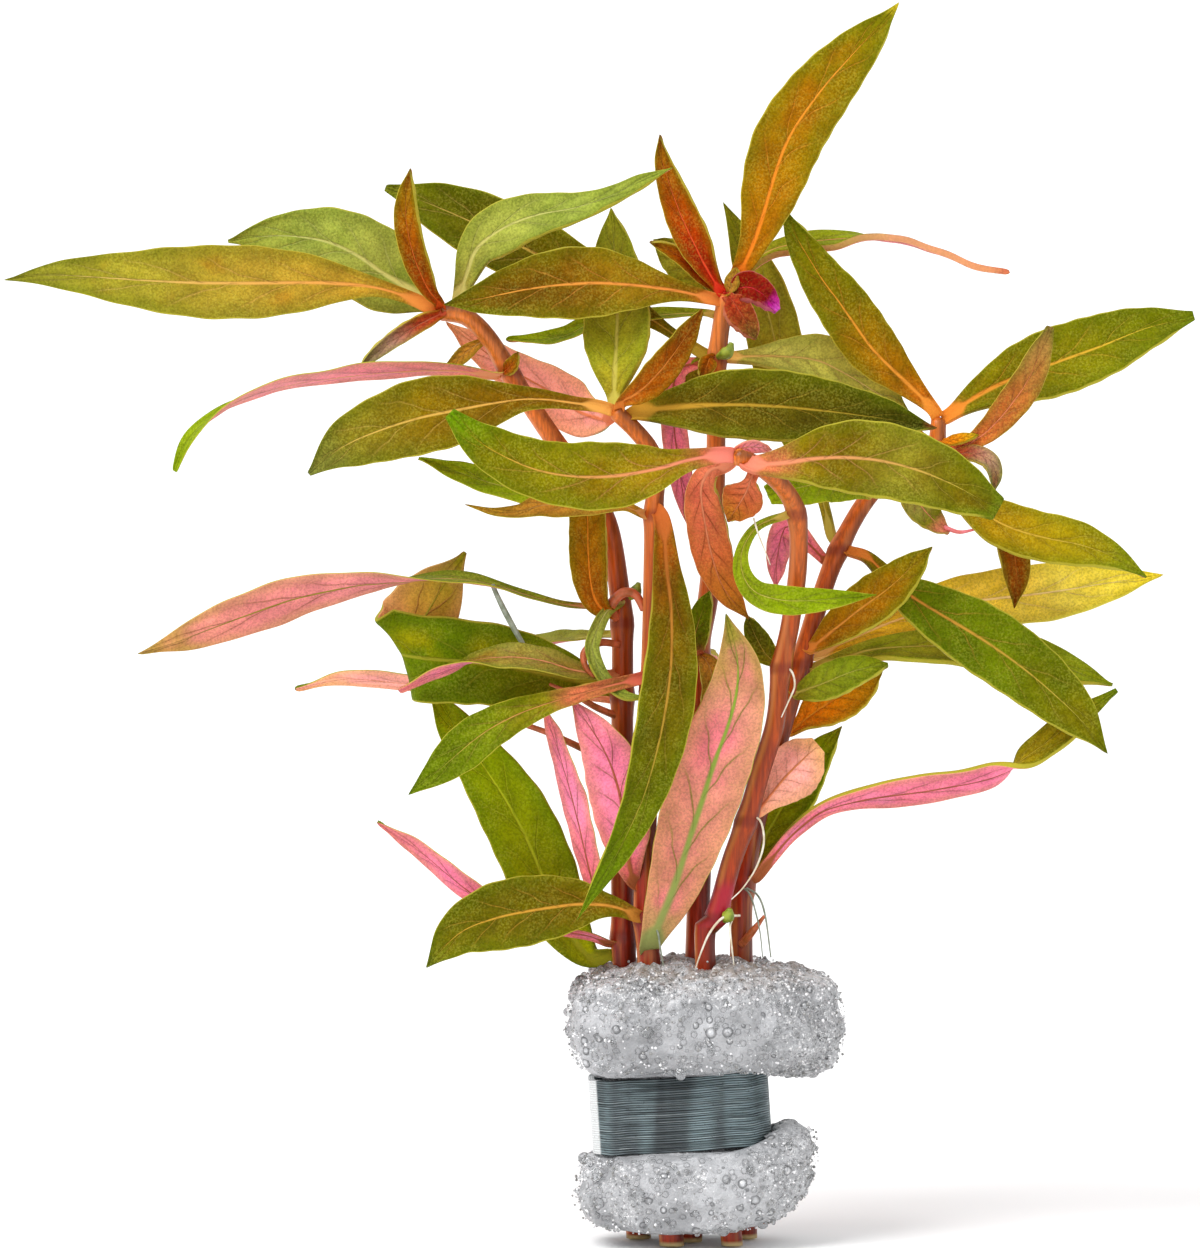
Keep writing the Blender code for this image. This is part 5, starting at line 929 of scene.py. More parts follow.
# Small young, folded and withered leaves, given as the leaves are
smallLeaves = {
    "curled_leaf_far_left": ("stem_left", [(-30.2, 1.6, 112.3), (-33, 0.8, 110.9), (-36, 0.2, 109),
        (-38.6, -0.2, 107), (-40.2, -0.4, 105.6)], (1.2, 2, 2.2, 2.2, 2, 1.7, 1.1, 0), "curledTip",
        "rustUnder"),
    "bud_leaf_left": ("stem_left", [(-25.2, 3.6, 109), (-27, 3.2, 107.8), (-30, 2.6, 105)],
        (1, 1.4, 1.8, 2, 1.8, 1.5, 1, 0), "driedAmber", "rustUnder"),
    "bud_at_left_node": ("stem_left", [(-22.4, 1.8, 105.4), (-21.6, 0.8, 106.2),
        (-20.8, 0.6, 107.8)], (1, 1.6, 1.8, 1.8, 1.6, 1.2, 0.8, 0), "youngRust", "rustUnder"),
    "edge_on_leaf": ("stem_tall", [(1.4, 6.2, 112.4), (-4, 8, 112.2), (-9, 8.6, 111.6),
        (-12.5, 8.6, 111), (-15, 8.4, 109.8), (-19, 8, 109.2), (-22.5, 7.6, 109.4)],
        (1.2, 2.5, 3.5, 4, 4, 3.4, 2.4, 0), "limeGreen", "pinkUnder", [(0, -0.35, 1)]),
    "red_sliver": ("stem_tall", [(3, 4.4, 115.6), (0, 4, 118.5), (-2.5, 3.6, 120),
        (-5, 3.4, 121.1)], (1.2, 2.2, 2.6, 2.6, 2.2, 1.8, 1.2, 0), "youngRed", "rustUnder"),
    "green_behind_crown": ("stem_tall", [(2.4, 5.6, 114.8), (0.5, 6.4, 117.5), (-2, 6.8, 119.6),
        (-4.5, 7, 121.5)], (1.4, 4, 5, 5.4, 5, 4, 2.4, 0), "backGreen"),
    "magenta_leaf": ("stem_tall", [(5.2, 3, 115.2), (7, 1.6, 115.6), (8.9, 0.8, 114.6),
        (10.6, 0.6, 112.7)], (1.4, 3, 3.8, 3.8, 3.4, 2.8, 2, 0.8), "magentaBud", "rustUnder",
        [(0.3, -1, 0.1)]),
    "boat_leaf": ("stem_tall", [(5, 2.2, 114.2), (6, 1, 112.6), (7.2, 0.4, 110.8),
        (8, 0.2, 109.2)], (1.3, 2.8, 3.4, 3.6, 3.2, 2.6, 1.8, 0), "boatBud", "rustUnder",
        [(-0.2, -1, 0.2)]),
    "crown_bud": ("stem_tall", [(4.8, 2.8, 115.2), (5.2, 2.2, 116.6), (5.6, 2, 118)],
        (1, 1.6, 1.9, 2, 1.8, 1.4, 1, 0), "driedAmber", "rustUnder"),
    "bud_at_tall_node": ("stem_tall", [(2.4, 2.6, 107), (2, 1.6, 106), (1.2, 1.2, 104.6)],
        (1, 1.8, 2.2, 2.2, 2, 1.6, 1, 0), "budBrown", "rustUnder"),
    "green_at_tall_node": ("stem_tall", [(1.6, 5.6, 107), (1, 6.4, 105), (0.2, 6.6, 102.5)],
        (1.2, 2.6, 3.4, 3.6, 3.2, 2.6, 1.8, 0), "backGreen"),
    "pink_at_front_crown": ("stem_front", [(5.6, -13, 95.8), (7.4, -12.6, 96.2), (9.8, -12, 95.8)],
        (1, 1.3, 1.6, 1.7, 1.6, 1.3, 0.9, 0), "longGreen", "pinkUnder", away),
    "pink_hanging_behind": ("stem_tall", [(1.6, 5.4, 106.6), (-1.6, 5.8, 105.4), (-2, 6, 100),
        (-1.2, 6, 93), (0, 6, 86)], (1.2, 2.4, 3, 3.2, 3.2, 2.8, 1.8, 0), "longGreen", "hotPink",
        away),
    "curled_leaf_right": ("stem_right", [(31.4, 6.8, 95.2), (34, 5.8, 95.6), (36.2, 5.2, 94.8),
        (37, 5, 93), (36.8, 5, 91)], (1.2, 1.6, 2, 2.2, 2.2, 2, 1.4, 0.4), "curledTip"),
    "sliver_right": ("stem_right", [(31, 7, 97), (33, 6.2, 97.4), (35, 5.8, 97.8)],
        (0.8, 1.2, 1.4, 1.4, 1.3, 1, 0.7, 0), "orangeGold", "rustUnder"),
    "crumpled_leaf": ("stem_right", [(25.6, 6.2, 92.6), (27, 5, 90.5), (28.6, 4.4, 88.4),
        (30.2, 4.2, 86.8), (31.5, 4.2, 86)], (1.2, 2.4, 3.4, 4, 3.8, 3, 2, 0.5), "dustyBrown",
        "rustUnder"),
    "hanging_brown_leaf": ("stem_right", [(29.5, 7, 95.6), (33, 5.8, 93), (37, 4.6, 89),
        (39, 4, 84.5), (39.6, 4, 80.5), (39.3, 4, 76.6)], (1.2, 1.2, 1.4, 2, 3.4, 3.8, 2.8, 0),
        "budBrown", "rustUnder"),
    "velvet_leaf": ("stem_right", [(12.6, 2.2, 66.4), (16, 1, 67.6), (20, 0.4, 69.2),
        (24, 0.2, 70)], (1.4, 3, 4.2, 4.6, 4.4, 3.6, 2.4, 0.4), "paleGreen"),
    "red_sliver_right": ("stem_right", [(28.8, 7, 97.2), (27, 6.4, 98), (25.5, 6.2, 98.8)],
        (0.8, 1.2, 1.4, 1.5, 1.3, 1, 0.7, 0), "youngRed", "rustUnder"),
    "purple_behind": ("stem_right", [(16.4, 5.6, 82.6), (13.5, 6.4, 85.5), (11.6, 6.8, 86.6),
        (10.6, 6.8, 83), (10.4, 6.8, 79)], (1.2, 1.6, 2.4, 3, 3.2, 2.8, 1.8, 0), "longGreen",
        "hotPink", away),
    "dark_green_sliver": ("stem_front", [(10.4, -2.8, 70), (9, -1.6, 71.4), (7.8, -1, 73.6),
        (6.8, -0.8, 76)], (1.2, 2.2, 3, 3.2, 3, 2.4, 1.6, 0), "darkOlive"),
    "olive_between": ("stem_tall", [(1.2, 2.8, 70.8), (0.4, 0.8, 72), (1, -0.4, 75),
        (2.4, -1, 79)], (1.2, 2.2, 3, 3.4, 3.2, 2.6, 1.8, 0), "lowGreen"),
    "rust_between": ("stem_tall", [(1.4, 2.4, 71), (2.4, 0.6, 69.6), (2.6, -0.2, 67),
        (1.4, -0.6, 64.5)], (1.1, 2, 2.6, 2.8, 2.6, 2.2, 1.5, 0), "driedAmber", "rustUnder"),
    "curl_leaf": ("stem_left", [(-8.4, 0.2, 77.4), (-10.2, -0.8, 76.2), (-11.5, -1.4, 73.5),
        (-11.8, -1.8, 71.5), (-10.5, -2.6, 68.5), (-8, -4.4, 66.3), (-5.5, -5, 66)],
        (1, 1.5, 1.8, 1.8, 1.7, 1.5, 1.2, 0.4), "greyGreen", "greyGreen"),
}
for number, leafName in enumerate(smallLeaves):
    growLeaf(leafName, 100 + number, False, *smallLeaves[leafName])
print("small leaves grown:", len(smallLeaves))

# Threads: root hairs, thin stalks and buds, as (stem, finish, radii in millimetres, path)
threads = {
    "root_front": ("stem_front", "rootHair", (0.16, 0.14, 0.08), [(6, -3.8, 39.6), (4, -5.6, 39.4),
        (2.4, -6, 37.6), (1.4, -6.2, 35.4), (0.5, -6.4, 32.8)]),
    "root_short": ("stem_front", "rootHair", (0.16, 0.14, 0.08), [(5.2, -3.8, 39.4),
        (4.8, -5.4, 38.2), (5, -6, 36), (5.3, -6, 33.6)]),
    "root_hook": ("stem_front", "rootHair", (0.14, 0.12, 0.07), [(6.8, -3.4, 51.4),
        (8.4, -5, 51.2), (8.9, -5.4, 48.5), (8, -5.6, 45.5), (6.4, -5.8, 43), (5, -5.8, 41.6)]),
    "root_upper": ("stem_front", "rootHair", (0.14, 0.12, 0.07), [(11, -4, 69.6),
        (12.2, -5.6, 69.2), (12.6, -5.8, 67.4), (11.8, -5.8, 65.4), (11, -5.8, 63.6)]),
    "root_crown": ("stem_front", "rootHair", (0.12, 0.1, 0.06), [(7.6, -10.4, 87.6),
        (8.2, -11, 85.6), (9, -11, 83.6), (9.6, -10.8, 82)]),
    "root_grey": ("stem_right", "greyHair", (0.14, 0.12, 0.08), [(6.6, 0.8, 43), (8.2, -0.6, 42),
        (9.1, -1, 39.6), (9.8, -1.2, 34.5)]),
    "root_grey_two": ("stem_right", "greyHair", (0.12, 0.1, 0.06), [(6.4, 0.8, 43),
        (7.4, -1, 41.8), (8.4, -1.4, 38), (8.8, -1.4, 34.5)]),
    "root_side": ("stem_middle", "greyHair", (0.14, 0.12, 0.08), [(-5.2, -4, 39), (-4, -5.4, 37.8),
        (-3.6, -5.6, 35.6), (-3.2, -5.6, 33.4)]),
    "stub_right": ("stem_right", "redStalk", (0.5, 0.45, 0.2), [(6.2, 0.6, 36), (7.4, -0.4, 37.4),
        (9, -1, 39.5)]),
    "stalk_left": ("stem_left", "redStalk", (0.5, 0.45, 0.35), [(-9.4, 3, 58), (-13.5, 2.4, 60),
        (-17, 2, 61.6), (-20.4, 2, 62.8)]),
    "stalk_left_two": ("stem_left", "redStalk", (0.5, 0.4, 0.2), [(-8.6, 1.6, 63.6),
        (-11.4, 0.4, 64.8), (-14, 0, 66.3), (-17, 0, 67.6)]),
    "stalk_arch": ("stem_left", "redStalk", (0.7, 0.65, 0.45), [(-9, 1.4, 75.6), (-9.6, -0.2, 77),
        (-8.2, -1.2, 78.6), (-6.6, -1.4, 78.4), (-5.6, -2, 76.6)]),
    "stalk_middle": ("stem_middle", "redStalk", (0.5, 0.45, 0.25), [(-4.8, -3, 70), (-4, -4.6, 72),
        (-3.5, -6, 75), (-3.2, -7, 77.4)]),
    "strip_left": ("stem_left", "greyHair", (0.32, 0.4, 0.3), [(-20, 0.2, 72), (-22, -0.6, 75.6),
        (-23.2, -1.2, 78), (-23.9, -1.4, 79.6)]),
    "olive_curl": ("stem_left", "redStalk", (0.45, 0.5, 0.25), [(-8.6, 1, 72.4), (-11, -0.2, 72.6),
        (-12.8, -0.8, 71.4), (-12.6, -1, 69.6), (-11.6, -1, 68.4)]),
    "bud_left": ("stem_left", "budGreen", (0.35, 0.8, 0.3), [(-7.2, 0.4, 78), (-6.6, -0.4, 78.8),
        (-6.2, -0.8, 79.8)]),
    "bud_front": ("stem_front", "budGreen", (0.4, 0.8, 0.35), [(4.2, -4.4, 39), (4.6, -5.2, 39.6),
        (4.8, -5.6, 40.4)]),
    "bud_tall": ("stem_tall", "budGreen", (0.4, 0.8, 0.35), [(3.4, 3.2, 107.2), (4.6, 2, 107.8),
        (5, 1.6, 108.8)]),
    "pink_thread": ("stem_right", "pinkStalk", (0.3, 0.25, 0.15), [(30.8, 4.2, 86.6),
        (32.6, 4, 86), (34.5, 3.8, 86.3)]),
}
threadMake = dict(rows=30, around=8)
threadFinishes = {
    "rootHair": dict(colours=((236, 230, 214), (206, 190, 160)), roughness=0.35),
    "greyHair": dict(colours=((150, 156, 140), (116, 124, 104)), roughness=0.45),
    "redStalk": dict(colours=((204, 104, 66), (160, 84, 34)), roughness=0.42),
    "budGreen": dict(colours=((150, 164, 50), (104, 124, 24)), roughness=0.45),
    "pinkStalk": dict(colours=((236, 130, 140), (220, 110, 100)), roughness=0.42),
}


def makeThreadFinish(name, look):
    material, tree, shader = newMaterial(name, {"Roughness": look["roughness"]})
    here = objectPlace(tree)
    mixed = smoothStep(tree, cloud(tree, here, 900, 3.0), 0.35, 0.65)
    colour = blend(tree, mixed, paint(*look["colours"][0]), paint(*look["colours"][1]))
    tree.links.new(colour, shader.inputs["Base Color"])
    addBump(tree, shader, cloud(tree, here, 3200, 2.0), 0.0001, 0.6)
    return material


def growThread(name, stem, finish, radii, points):
    curve = smoothCurve([place(*point) for point in points])
    reached = lengthsAlong(curve)
    rows = threadMake["rows"]
    frames = []
    side = Vector((0.3, 1, 0.2))
    for row in range(rows + 1):
        share = min(max((row - 1) / (rows - 2), 0.0), 1.0)
        spot, along = pointAt(curve, reached, share * reached[-1])
        side = (side - along * side.dot(along)).normalized()
        radius = widthAt(radii, share) * mm
        if row in (0, rows):
            spot = spot + along * radius * (0.4 if row else -0.4)
            radius = 0.0
        frames.append((spot, side.copy(), along.cross(side), radius))

    def placeAt(share, turn):
        spot, sideways, across, radius = frames[round(share * rows)]
        angle = math.tau * turn
        return spot + (sideways * math.cos(angle) + across * math.sin(angle)) * radius

    piece = addGrid(name, rows, threadMake["around"], placeAt)
    closeSeams(0.000002)
    finishPiece(piece, [threadMaterials[finish]], stem)


threadMaterials = {}
for finishName, finishLook in threadFinishes.items():
    threadMaterials[finishName] = makeThreadFinish(finishName, finishLook)
for threadName in threads:
    growThread(threadName, *threads[threadName])
print("threads grown:", len(threads))

# The foam's outline at three sides, ring by ring from below: half width and height at
# its left, at its right, and at its front and back
foamRings = [
    ((7, 1.5), (6, 1.9), (6, 1.5)), ((11.5, 2.3), (10.5, 3), (9.3, 2.3)),
    ((13.4, 5), (13.4, 5.8), (10.8, 5)), ((13.2, 7.4), (14.8, 10.2), (11, 7.6)),
    ((12.8, 9.2), (14.4, 13.4), (10.2, 9.4)), ((12.3, 10.1), (12.4, 14.8), (9.2, 10.6)),
    ((11.8, 10.6), (10.8, 13.8), (8.4, 11.2)), ((11, 10.8), (10.4, 12.4), (7.2, 11.6)),
    ((10.2, 11.4), (8.2, 12), (5.9, 12)), ((10.6, 19.6), (8.2, 21), (5.9, 20.6)),
    ((11.6, 20.2), (9.2, 21.6), (7.4, 20.9)), ((12.4, 20.8), (10.8, 21.9), (8.9, 21.2)),
    ((13.1, 21.7), (11.8, 20.8), (9.9, 21.9)), ((13.7, 22.9), (14, 20.3), (10.5, 23)),
    ((14.4, 25), (17.2, 22), (11.2, 24.8)), ((14.5, 27.6), (18.2, 25.8), (11.6, 27.4)),
    ((14.1, 30), (17.8, 29.6), (11.4, 30.2)), ((13.3, 31.6), (16.6, 31.8), (10.7, 32)),
    ((11.8, 32.6), (14.4, 32.8), (9.4, 33.2)), ((8.2, 33.5), (9.6, 33.5), (6.2, 34.2)),
]

# Foam: rows up it and corners round it, how rough its skin is, in millimetres, its beads
# and crumbs, and where it lies smooth under the band: from and to which height, left of where
foam = dict(bare=0.4, rows=180, around=270, lumps=1.1, rough=0.5, fine=0.3, cells=0.5, beads=560,
            bubbles=90, crumbs=2800, beadSize=(0.16, 0.46), bubbleSize=(0.45, 1.0),
            crumbSize=(0.08, 0.24), squareness=2.5, light=(188, 189, 192), middle=(156, 157, 160),
            dark=(56, 56, 54), brown=(112, 92, 64), spotScale=520.0, spotShare=0.5,
            # the next colour is the painted dark reflection round the clear bubbles
            wall=(70, 72, 74), cellScale=900.0, middleX=-0.4, underBand=(11.8, 20.2, 9.5),
            milkyBelow=29, milkyLeftOf=9)


def roundedSquare(angle, squareness):
    power = 2 / squareness
    x = math.copysign(abs(math.cos(angle)) ** power, math.cos(angle))
    y = math.copysign(abs(math.sin(angle)) ** power, math.sin(angle))
    return x, y


def ringAt(share):
    # the foam's ring at this share of its outline, smooth between the given rings
    where = share * (len(foamRings) - 1)
    i = min(int(where), len(foamRings) - 2)
    near = [foamRings[min(max(i + k, 0), len(foamRings) - 1)] for k in (-1, 0, 1, 2)]
    ring = []
    for which in range(3):
        pair = []
        for part in range(2):
            pair.append(between(*[each[which][part] for each in near], where - i))
        ring.append(pair)
    return ring


def foamPoint(share, turn):
    left, right, front = ringAt(share)
    angle = math.tau * turn
    across, deep = roundedSquare(angle, foam["squareness"])
    side = right if across > 0 else left
    weight = abs(math.cos(angle)) ** 1.6
    height = front[1] + (side[1] - front[1]) * weight
    return Vector((across * side[0], deep * front[0], height))


def makeFoamFinish():
    material, tree, shader = newMaterial("foamSkin", {
        "Roughness": 0.42, "Coat Weight": 0.35, "Coat Roughness": 0.12})
    here = objectPlace(tree)
    broad = smoothStep(tree, cloud(tree, here, 130, 3.0), 0.35, 0.65)
    colour = blend(tree, broad, paint(*foam["middle"]), paint(*foam["light"]))
    # bubbles under the skin: painted highlights as bright rings round middles darkened with
    # painted shade
    foamCell = cells(tree, here, foam["cellScale"])["Distance"]
    ring = smoothStep(tree, gap(tree, foamCell, 0.34), 0.1, 0.0)
    # glassy and sparkling at the top and in patches, smoother and milky elsewhere; this mask sets
    # where the painted shade, highlights and glints are strong
    across, _, rise = axes(tree, here)
    sparkle = maths(tree, "MAXIMUM", smoothStep(tree, rise, 0.0275, 0.0325, 0.08, 1.0),
                    smoothStep(tree, across, 0.007, 0.013, 0.08, 0.8))
    sparkle = maths(tree, "MAXIMUM", sparkle,
                    smoothStep(tree, cloud(tree, here, 190, 2.0), 0.54, 0.64, 0.1, 0.75))
    paintedHollowShade = times(tree, smoothStep(tree, foamCell, 0.3, 0.05, 0.0, 0.4), sparkle)
    colour = blend(tree, paintedHollowShade, colour, paint(*foam["dark"]))
    colour = blend(tree, times(tree, ring, times(tree, sparkle, 0.5)), colour,
                   paint(250, 250, 252))
    # clear bubbles painted into some of the larger cells: a dark rim of painted reflection, a
    # bright painted middle and a small painted highlight
    spots = cells(tree, here, foam["spotScale"])
    pick = addNode(tree, "ShaderNodeSeparateColor", sockets={0: spots["Color"]})
    chosen = maths(tree, "LESS_THAN", pick.outputs[0], foam["spotShare"])
    radius = maths(tree, "MULTIPLY_ADD", pick.outputs[1], 0.2, 0.18)
    reach = maths(tree, "DIVIDE", spots["Distance"], radius)
    wall = times(tree, smoothStep(tree, reach, 0.62, 0.86), smoothStep(tree, reach, 1.08, 0.94))
    colour = blend(tree, times(tree, times(tree, wall, chosen), 0.6), colour,
                   paint(*foam["wall"]))
    inner = times(tree, smoothStep(tree, reach, 0.7, 0.3, 0.0, 0.5), chosen)
    colour = blend(tree, inner, colour, paint(226, 228, 232))
    aside = addNode(tree, "ShaderNodeVectorMath", operation="SUBTRACT",
                    sockets={0: here, 1: spots["Position"]})
    aside = addNode(tree, "ShaderNodeVectorMath", operation="DISTANCE",
                    sockets={0: aside.outputs[0], 1: (-0.00018, -0.0001, 0.0002)})
    paintedGlint = times(tree, smoothStep(tree, aside.outputs["Value"], 0.00022, 0.0001), chosen)
    colour = blend(tree, paintedGlint, colour, paint(255, 255, 255))
    # dark grains, and bright grains that are painted glints
    grain = cloud(tree, here, 2300, 3.0, 0.75)
    darkGrain = times(tree, smoothStep(tree, grain, 0.55, 0.66), sparkle)
    colour = blend(tree, darkGrain, colour, paint(*foam["dark"]))
    paintedGlintGrain = times(tree, smoothStep(tree, grain, 0.45, 0.35), sparkle)
    colour = blend(tree, paintedGlintGrain, colour, paint(254, 254, 254))
    # a brownish tinge round the stems at the top
    top = smoothStep(tree, rise, 0.0305, 0.0345, 0.0, 0.6)
    top = times(tree, top, smoothStep(tree, cloud(tree, here, 700, 3.0), 0.4, 0.6))
    colour = blend(tree, top, colour, paint(*foam["brown"]))
    tree.links.new(colour, shader.inputs["Base Color"])
    height = maths(tree, "MULTIPLY_ADD", ring, 0.7, grain)
    bulge = times(tree, smoothStep(tree, reach, 1.0, 0.4), chosen)
    height = maths(tree, "MULTIPLY_ADD", bulge, 1.2, height)
    addBump(tree, shader, height, 0.0003, 0.9)
    return material


def makeBeadFinish():
    material, tree, shader = newMaterial("foamBeads", {
        "Roughness": 0.03, "Base Color": paint(246, 247, 248), "Transmission Weight": 0.92,
        "IOR": 1.5})
    addBump(tree, shader, cloud(tree, objectPlace(tree), 1800, 2.0), 0.00008, 0.4)
    return material


def makeCrumbFinish():
    material, tree, shader = newMaterial("foamCrumbs", {"Roughness": 0.4})
    pick = cloud(tree, objectPlace(tree), 700, 1.0)
    colour = blend(tree, smoothStep(tree, pick, 0.44, 0.56), paint(140, 140, 138),
                   paint(236, 236, 238))
    tree.links.new(colour, shader.inputs["Base Color"])
    return material


def makeFoam():
    def placeAt(share, turn):
        # the first and last rows close the ends flat
        inner = min(share / 0.04, (1 - share) / 0.06, 1.0)
        point = foamPoint(min(max((share - 0.04) / 0.9, 0.0), 1.0), turn % 1.0)
        low = foamPoint(0.0 if share < 0.5 else 1.0, 0.25)
        middle = Vector((foam["middleX"], 0.0, low.z))
        if inner < 1:
            point = middle + (point - middle) * inner ** 0.8
        bandFoot, bandTop, bandSide = foam["underBand"]
        if bandFoot < point.z < bandTop and point.x < bandSide:
            return point * mm
        away = Vector((point.x, point.y, 0.0))
        out = away.normalized() if away.length > 1 else Vector((0, 0, 1))
        if share > 0.9:
            out = Vector((0, 0, 1))
        soft = noise.noise(point * 0.27) * foam["lumps"]
        soft += noise.fractal(point * 0.7, 1.0, 2.0, 3) * foam["rough"]
        # rougher at the top and at the right
        rougher = max(min((point.z - foam["milkyBelow"]) / 3, 1),
                      min((point.x - foam["milkyLeftOf"]) / 3, 1), 0.25)
        fine = noise.noise(point * 3.1) * foam["fine"]
        cell = (0.5 - noise.voronoi(point * 0.95)[0][0]) * foam["cells"]
        return (point + out * (soft + (fine + cell) * rougher)) * mm

    piece = addGrid("foam_skin", foam["rows"], foam["around"], placeAt)
    closeSeams(0.000004)
    finishPiece(piece, [makeFoamFinish()], "foam_sleeve", "foam_sleeve")


def scatter(name, count, sizes, material, seed, lift, corners):
    # one small ball modelled once, copied over the foam and joined
    rand = random.Random(seed)
    bpy.ops.object.select_all(action="DESELECT")
    if corners:
        bpy.ops.mesh.primitive_uv_sphere_add(segments=corners, ring_count=corners * 2 // 3,
                                             radius=1.0)
    else:
        bpy.ops.mesh.primitive_ico_sphere_add(subdivisions=1, radius=1.0)
    ball = bpy.context.active_object
    copies = []
    while len(copies) < count:
        share = rand.uniform(0.03, 0.99)
        turn = rand.random()
        point = foamPoint(share, turn)
        if 10.6 < point.z < 21.4 and not (point.x > 9 and (point.z > 18.5 or point.z < 13.5)):
            continue
        # fewer of them where the foam is milky
        milky = point.z < foam["milkyBelow"] and point.x < foam["milkyLeftOf"]
        if milky and rand.random() < foam["bare"]:
            continue
        away = Vector((point.x, point.y, 0.0)).normalized()
        if share > 0.97:
            point = Vector((point.x * math.sqrt(rand.random()), point.y * rand.random(), point.z))
            away = Vector((0, 0, 1))
        size = rand.uniform(*sizes) * rand.uniform(0.6, 1.0)
        shape = Matrix.Diagonal((size * rand.uniform(0.8, 1.25), size,
                                 size * rand.uniform(0.8, 1.2)))
        copy = ball.copy()
        copy.data = ball.data.copy()
        turnBy = Matrix.Rotation(rand.uniform(0, math.tau), 3, "Z")
        middle = point + away * rand.uniform(*lift)
        copy.data.transform(Matrix.Translation(middle * mm) @ (turnBy @ shape * mm).to_4x4())
        bpy.context.scene.collection.objects.link(copy)
        copies.append(copy)
    bpy.data.objects.remove(ball, do_unlink=True)
    for copy in copies:
        copy.select_set(True)
    bpy.context.view_layer.objects.active = copies[0]
    bpy.ops.object.join()
    piece = bpy.context.active_object
    piece.name = name
    piece.data.name = name
    finishPiece(piece, [material], "foam_sleeve")


makeFoam()
beadFinish = makeBeadFinish()
scatter("foam_beads", foam["beads"], foam["beadSize"], beadFinish, 5, (0.05, 0.5), 8)
scatter("foam_bubbles", foam["bubbles"], foam["bubbleSize"], beadFinish, 12, (0.05, 0.45), 12)
scatter("foam_crumbs", foam["crumbs"], foam["crumbSize"], makeCrumbFinish(), 9, (0.05, 0.85), 0)
print("foam made")

# The lead band: its sizes in millimetres and turns, its fine ribs, its colours, and the stretch of
# its left bend that is painted near white as a reflection
band = dict(height=9.0, thick=0.8, middleHeight=16.2, middleX=-1.2, halfWidth=10.9, halfDepth=7.1,
            squareness=3.4, lean=3.8, start=75, lap=0.13, rise=0.06, gap=0.35, rows=170, ribs=32,
            ribDeep=0.07, dark=(26, 29, 31), middle=(80, 87, 90), light=(126, 144, 148),
            shine=(190, 197, 198), paintedReflectionFrom=0.262, paintedReflectionTo=0.332)

# Each rib of the band takes up this many columns of its mesh
ribColumns = 4


def makeBandFinish(columns):
    material, tree, shader = newMaterial("leadStrip", {"Roughness": 0.45, "Metallic": 0.35})
    bandMap = ownMap(tree)
    along, side, _ = axes(tree, bandMap)
    here = objectPlace(tree)
    # soft upright bands of tone, and streaks that run along the strip
    upright = stretch(tree, here, 1, 1, 0.12)
    tone = smoothStep(tree, cloud(tree, upright, 210, 2.0), 0.36, 0.64)
    colour = blend(tree, tone, paint(*band["middle"]), paint(*band["light"]))
    lines = stretch(tree, bandMap, 0.06, 0.62, 1)
    streak = cloud(tree, lines, 130, 3.0, 0.7)
    colour = blend(tree, smoothStep(tree, streak, 0.5, 0.6, 0.0, 0.85), colour,
                   paint(*band["dark"]))
    colour = blend(tree, smoothStep(tree, streak, 0.43, 0.34, 0.0, 0.55), colour,
                   paint(*band["shine"]))
    pattern = maths(tree, "FRACT", times(tree, side, columns / ribColumns))
    groove = smoothStep(tree, gap(tree, pattern, 0.5), 0.28, 0.5)
    uneven = smoothStep(tree, cloud(tree, lines, 40, 2.0), 0.35, 0.6, 0.35, 1.0)
    colour = blend(tree, times(tree, groove, uneven), colour, paint(*band["dark"]))
    # painted reflection: the left bend is painted near white, as its lit side catching the light
    paintedReflection = times(tree, smoothStep(tree, along, band["paintedReflectionFrom"] - 0.02, band["paintedReflectionFrom"]),
                 smoothStep(tree, along, band["paintedReflectionTo"] + 0.01, band["paintedReflectionTo"]))
    colour = blend(tree, times(tree, paintedReflection, 0.88), colour, paint(240, 242, 242))
    speck = smoothStep(tree, cloud(tree, here, 2100, 3.0, 0.7), 0.6, 0.74, 0.0, 0.6)
    colour = blend(tree, speck, colour, paint(*band["dark"]))
    tree.links.new(colour, shader.inputs["Base Color"])
    height = maths(tree, "MULTIPLY_ADD", groove, -1.0, streak)
    addBump(tree, shader, height, 0.00012, 0.8)
    return material


def makeBand():
    lean = Matrix.Rotation(-math.radians(band["lean"]), 3, "Y")
    middle = Vector((band["middleX"], 0, band["middleHeight"]))
    ribSteps = band["ribs"] * ribColumns
    section = []
    for i in range(ribSteps + 1):
        groove = math.sin(math.pi * i / ribColumns) ** 2
        section.append((1 - band["ribDeep"] * (1 - groove) / band["thick"], i / ribSteps - 0.5))
    for i in range(1, 11):
        section.append((1 - band["ribDeep"] / band["thick"] - 0.86 * i / 10, 0.5))
    for i in range(1, 10):
        section.append((0.0, 0.5 - i / 10))
    for i in range(11):
        section.append((0.9 * i / 10, -0.5))
    columns = len(section) - 1
    rows = band["rows"]

    def placeAt(share, side):
        row = round(share * rows)
        turn = min(max((row - 1) / (rows - 2), 0.0), 1.0) * (1 + band["lap"])
        angle = math.radians(band["start"]) + math.tau * turn
        x, y = roundedSquare(angle, band["squareness"])
        lift = (band["thick"] + band["gap"]) * min(max((turn - 1) / band["rise"] + 1, 0), 1)
        outward, up = section[round(side * columns)]
        if row in (0, rows):
            outward, up = 0.5, 0.0
        grown = outward * band["thick"] + lift - band["thick"]
        wave = 0.05 * math.sin(9 * angle) if row not in (0, rows) else 0.0
        point = Vector((x * (band["halfWidth"] + grown), y * (band["halfDepth"] + grown),
                        up * band["height"] + wave))
        return (middle + lean @ point) * mm

    piece = addGrid("band_strip", rows, columns, placeAt)
    closeSeams(0.000002)
    finishPiece(piece, [makeBandFinish(columns)], "weight_band", "weight_band")


makeBand()
print("band made")

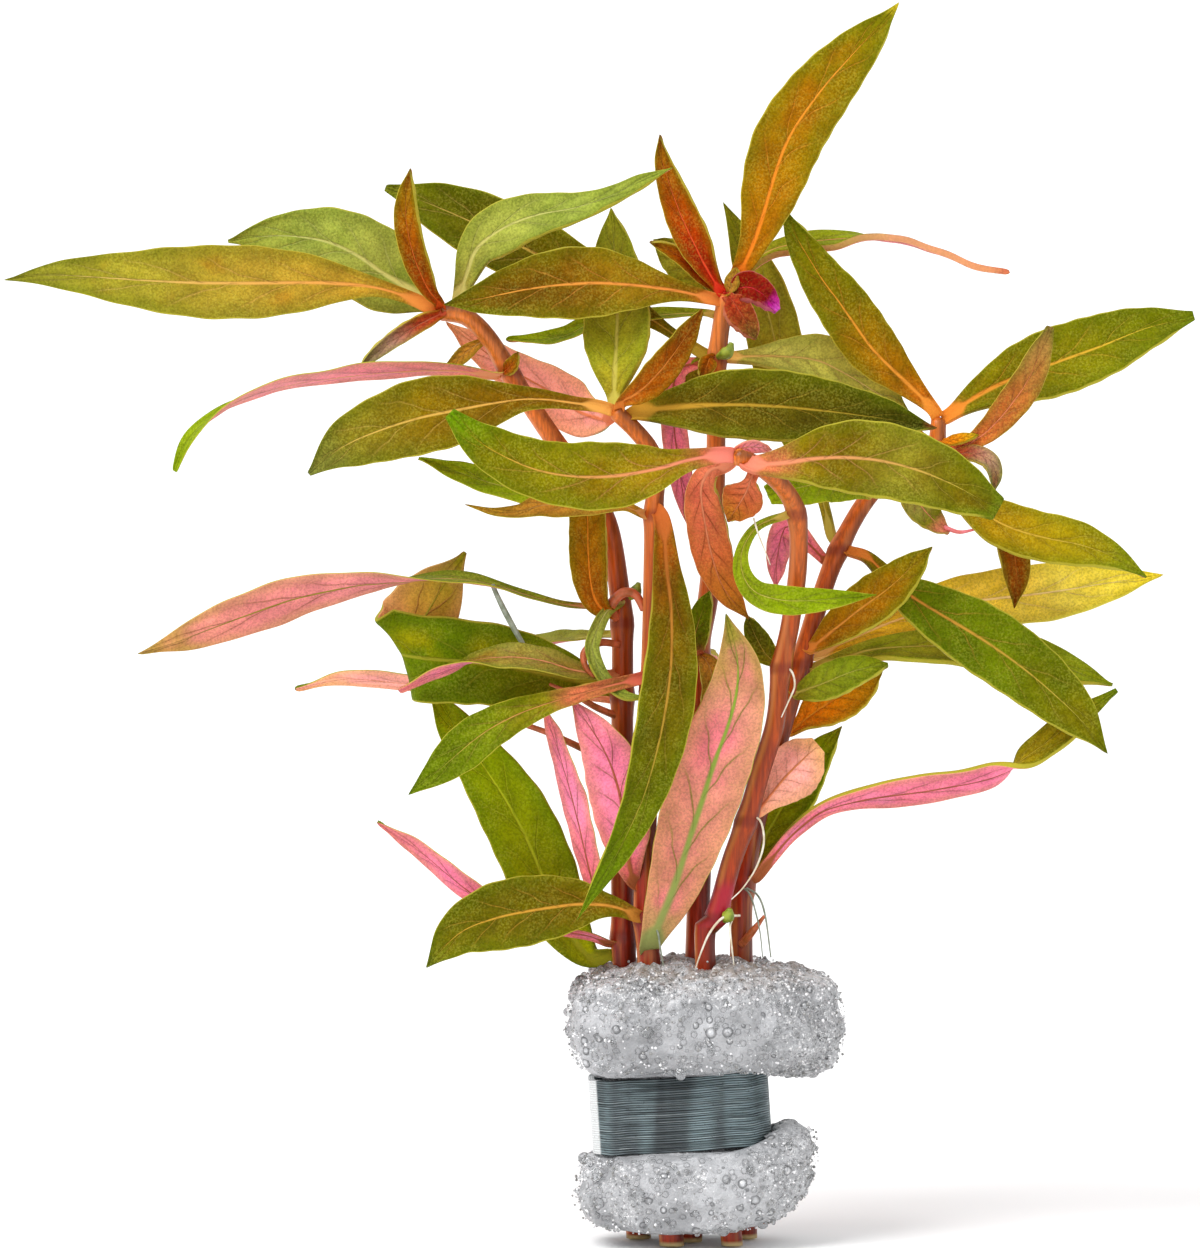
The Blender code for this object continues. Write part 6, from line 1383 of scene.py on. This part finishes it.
# A pale floor that runs out of sight, soft light and the camera
studio = dict(floorSize=40.0, floorColour=(250, 250, 250), sky=(1.0, 1.0, 1.0), skyStrength=0.85,
              sun=2.2, sunAngle=34, sunFrom=(-0.6, -0.6, 1.0), fill=0.25, fillAngle=60,
              fillFrom=(0.8, -0.5, 0.35))


def addSun(name, strength, comesFrom, angle):
    bpy.ops.object.light_add(type="SUN", location=(0, 0, 1))
    sun = bpy.context.active_object
    sun.name = name
    sun.data.energy = strength
    sun.data.angle = math.radians(angle)
    sun.rotation_mode = "QUATERNION"
    sun.rotation_quaternion = Vector(comesFrom).to_track_quat("Z", "Y")


def makeStudio():
    bpy.ops.object.select_all(action="DESELECT")
    bpy.ops.mesh.primitive_plane_add(size=studio["floorSize"], location=(0, 0, -0.0002))
    floor = bpy.context.active_object
    floor.name = "floor"
    floor.data.materials.append(newMaterial("paleFloor", {
        "Roughness": 0.9, "Base Color": paint(*studio["floorColour"])})[0])
    addSun("keyLight", studio["sun"], studio["sunFrom"], studio["sunAngle"])
    addSun("fillLight", studio["fill"], studio["fillFrom"], studio["fillAngle"])
    world = bpy.data.worlds.new("softSky")
    world.use_nodes = True
    sky = world.node_tree.nodes["Background"]
    sky.inputs["Color"].default_value = (*studio["sky"], 1.0)
    sky.inputs["Strength"].default_value = studio["skyStrength"]
    bpy.context.scene.world = world
    bpy.context.scene.view_settings.view_transform = "Standard"


def makeCamera():
    target = Vector((camera["middleX"], 0.0, camera["middleHeight"])) * mm
    back = Vector((0, -math.cos(viewTilt), math.sin(viewTilt)))
    bpy.ops.object.camera_add(location=target + back * camera["away"] * mm)
    eye = bpy.context.active_object
    eye.name = "photoCamera"
    eye.rotation_mode = "QUATERNION"
    eye.rotation_quaternion = (-back).to_track_quat("-Z", "Y")
    eye.data.sensor_width = camera["sensor"]
    eye.data.lens = camera["sensor"] * camera["away"] / camera["frameHeight"]
    eye.data.clip_end = camera["farthest"]
    bpy.context.scene.camera = eye


makeStudio()
makeCamera()
print("studio ready")
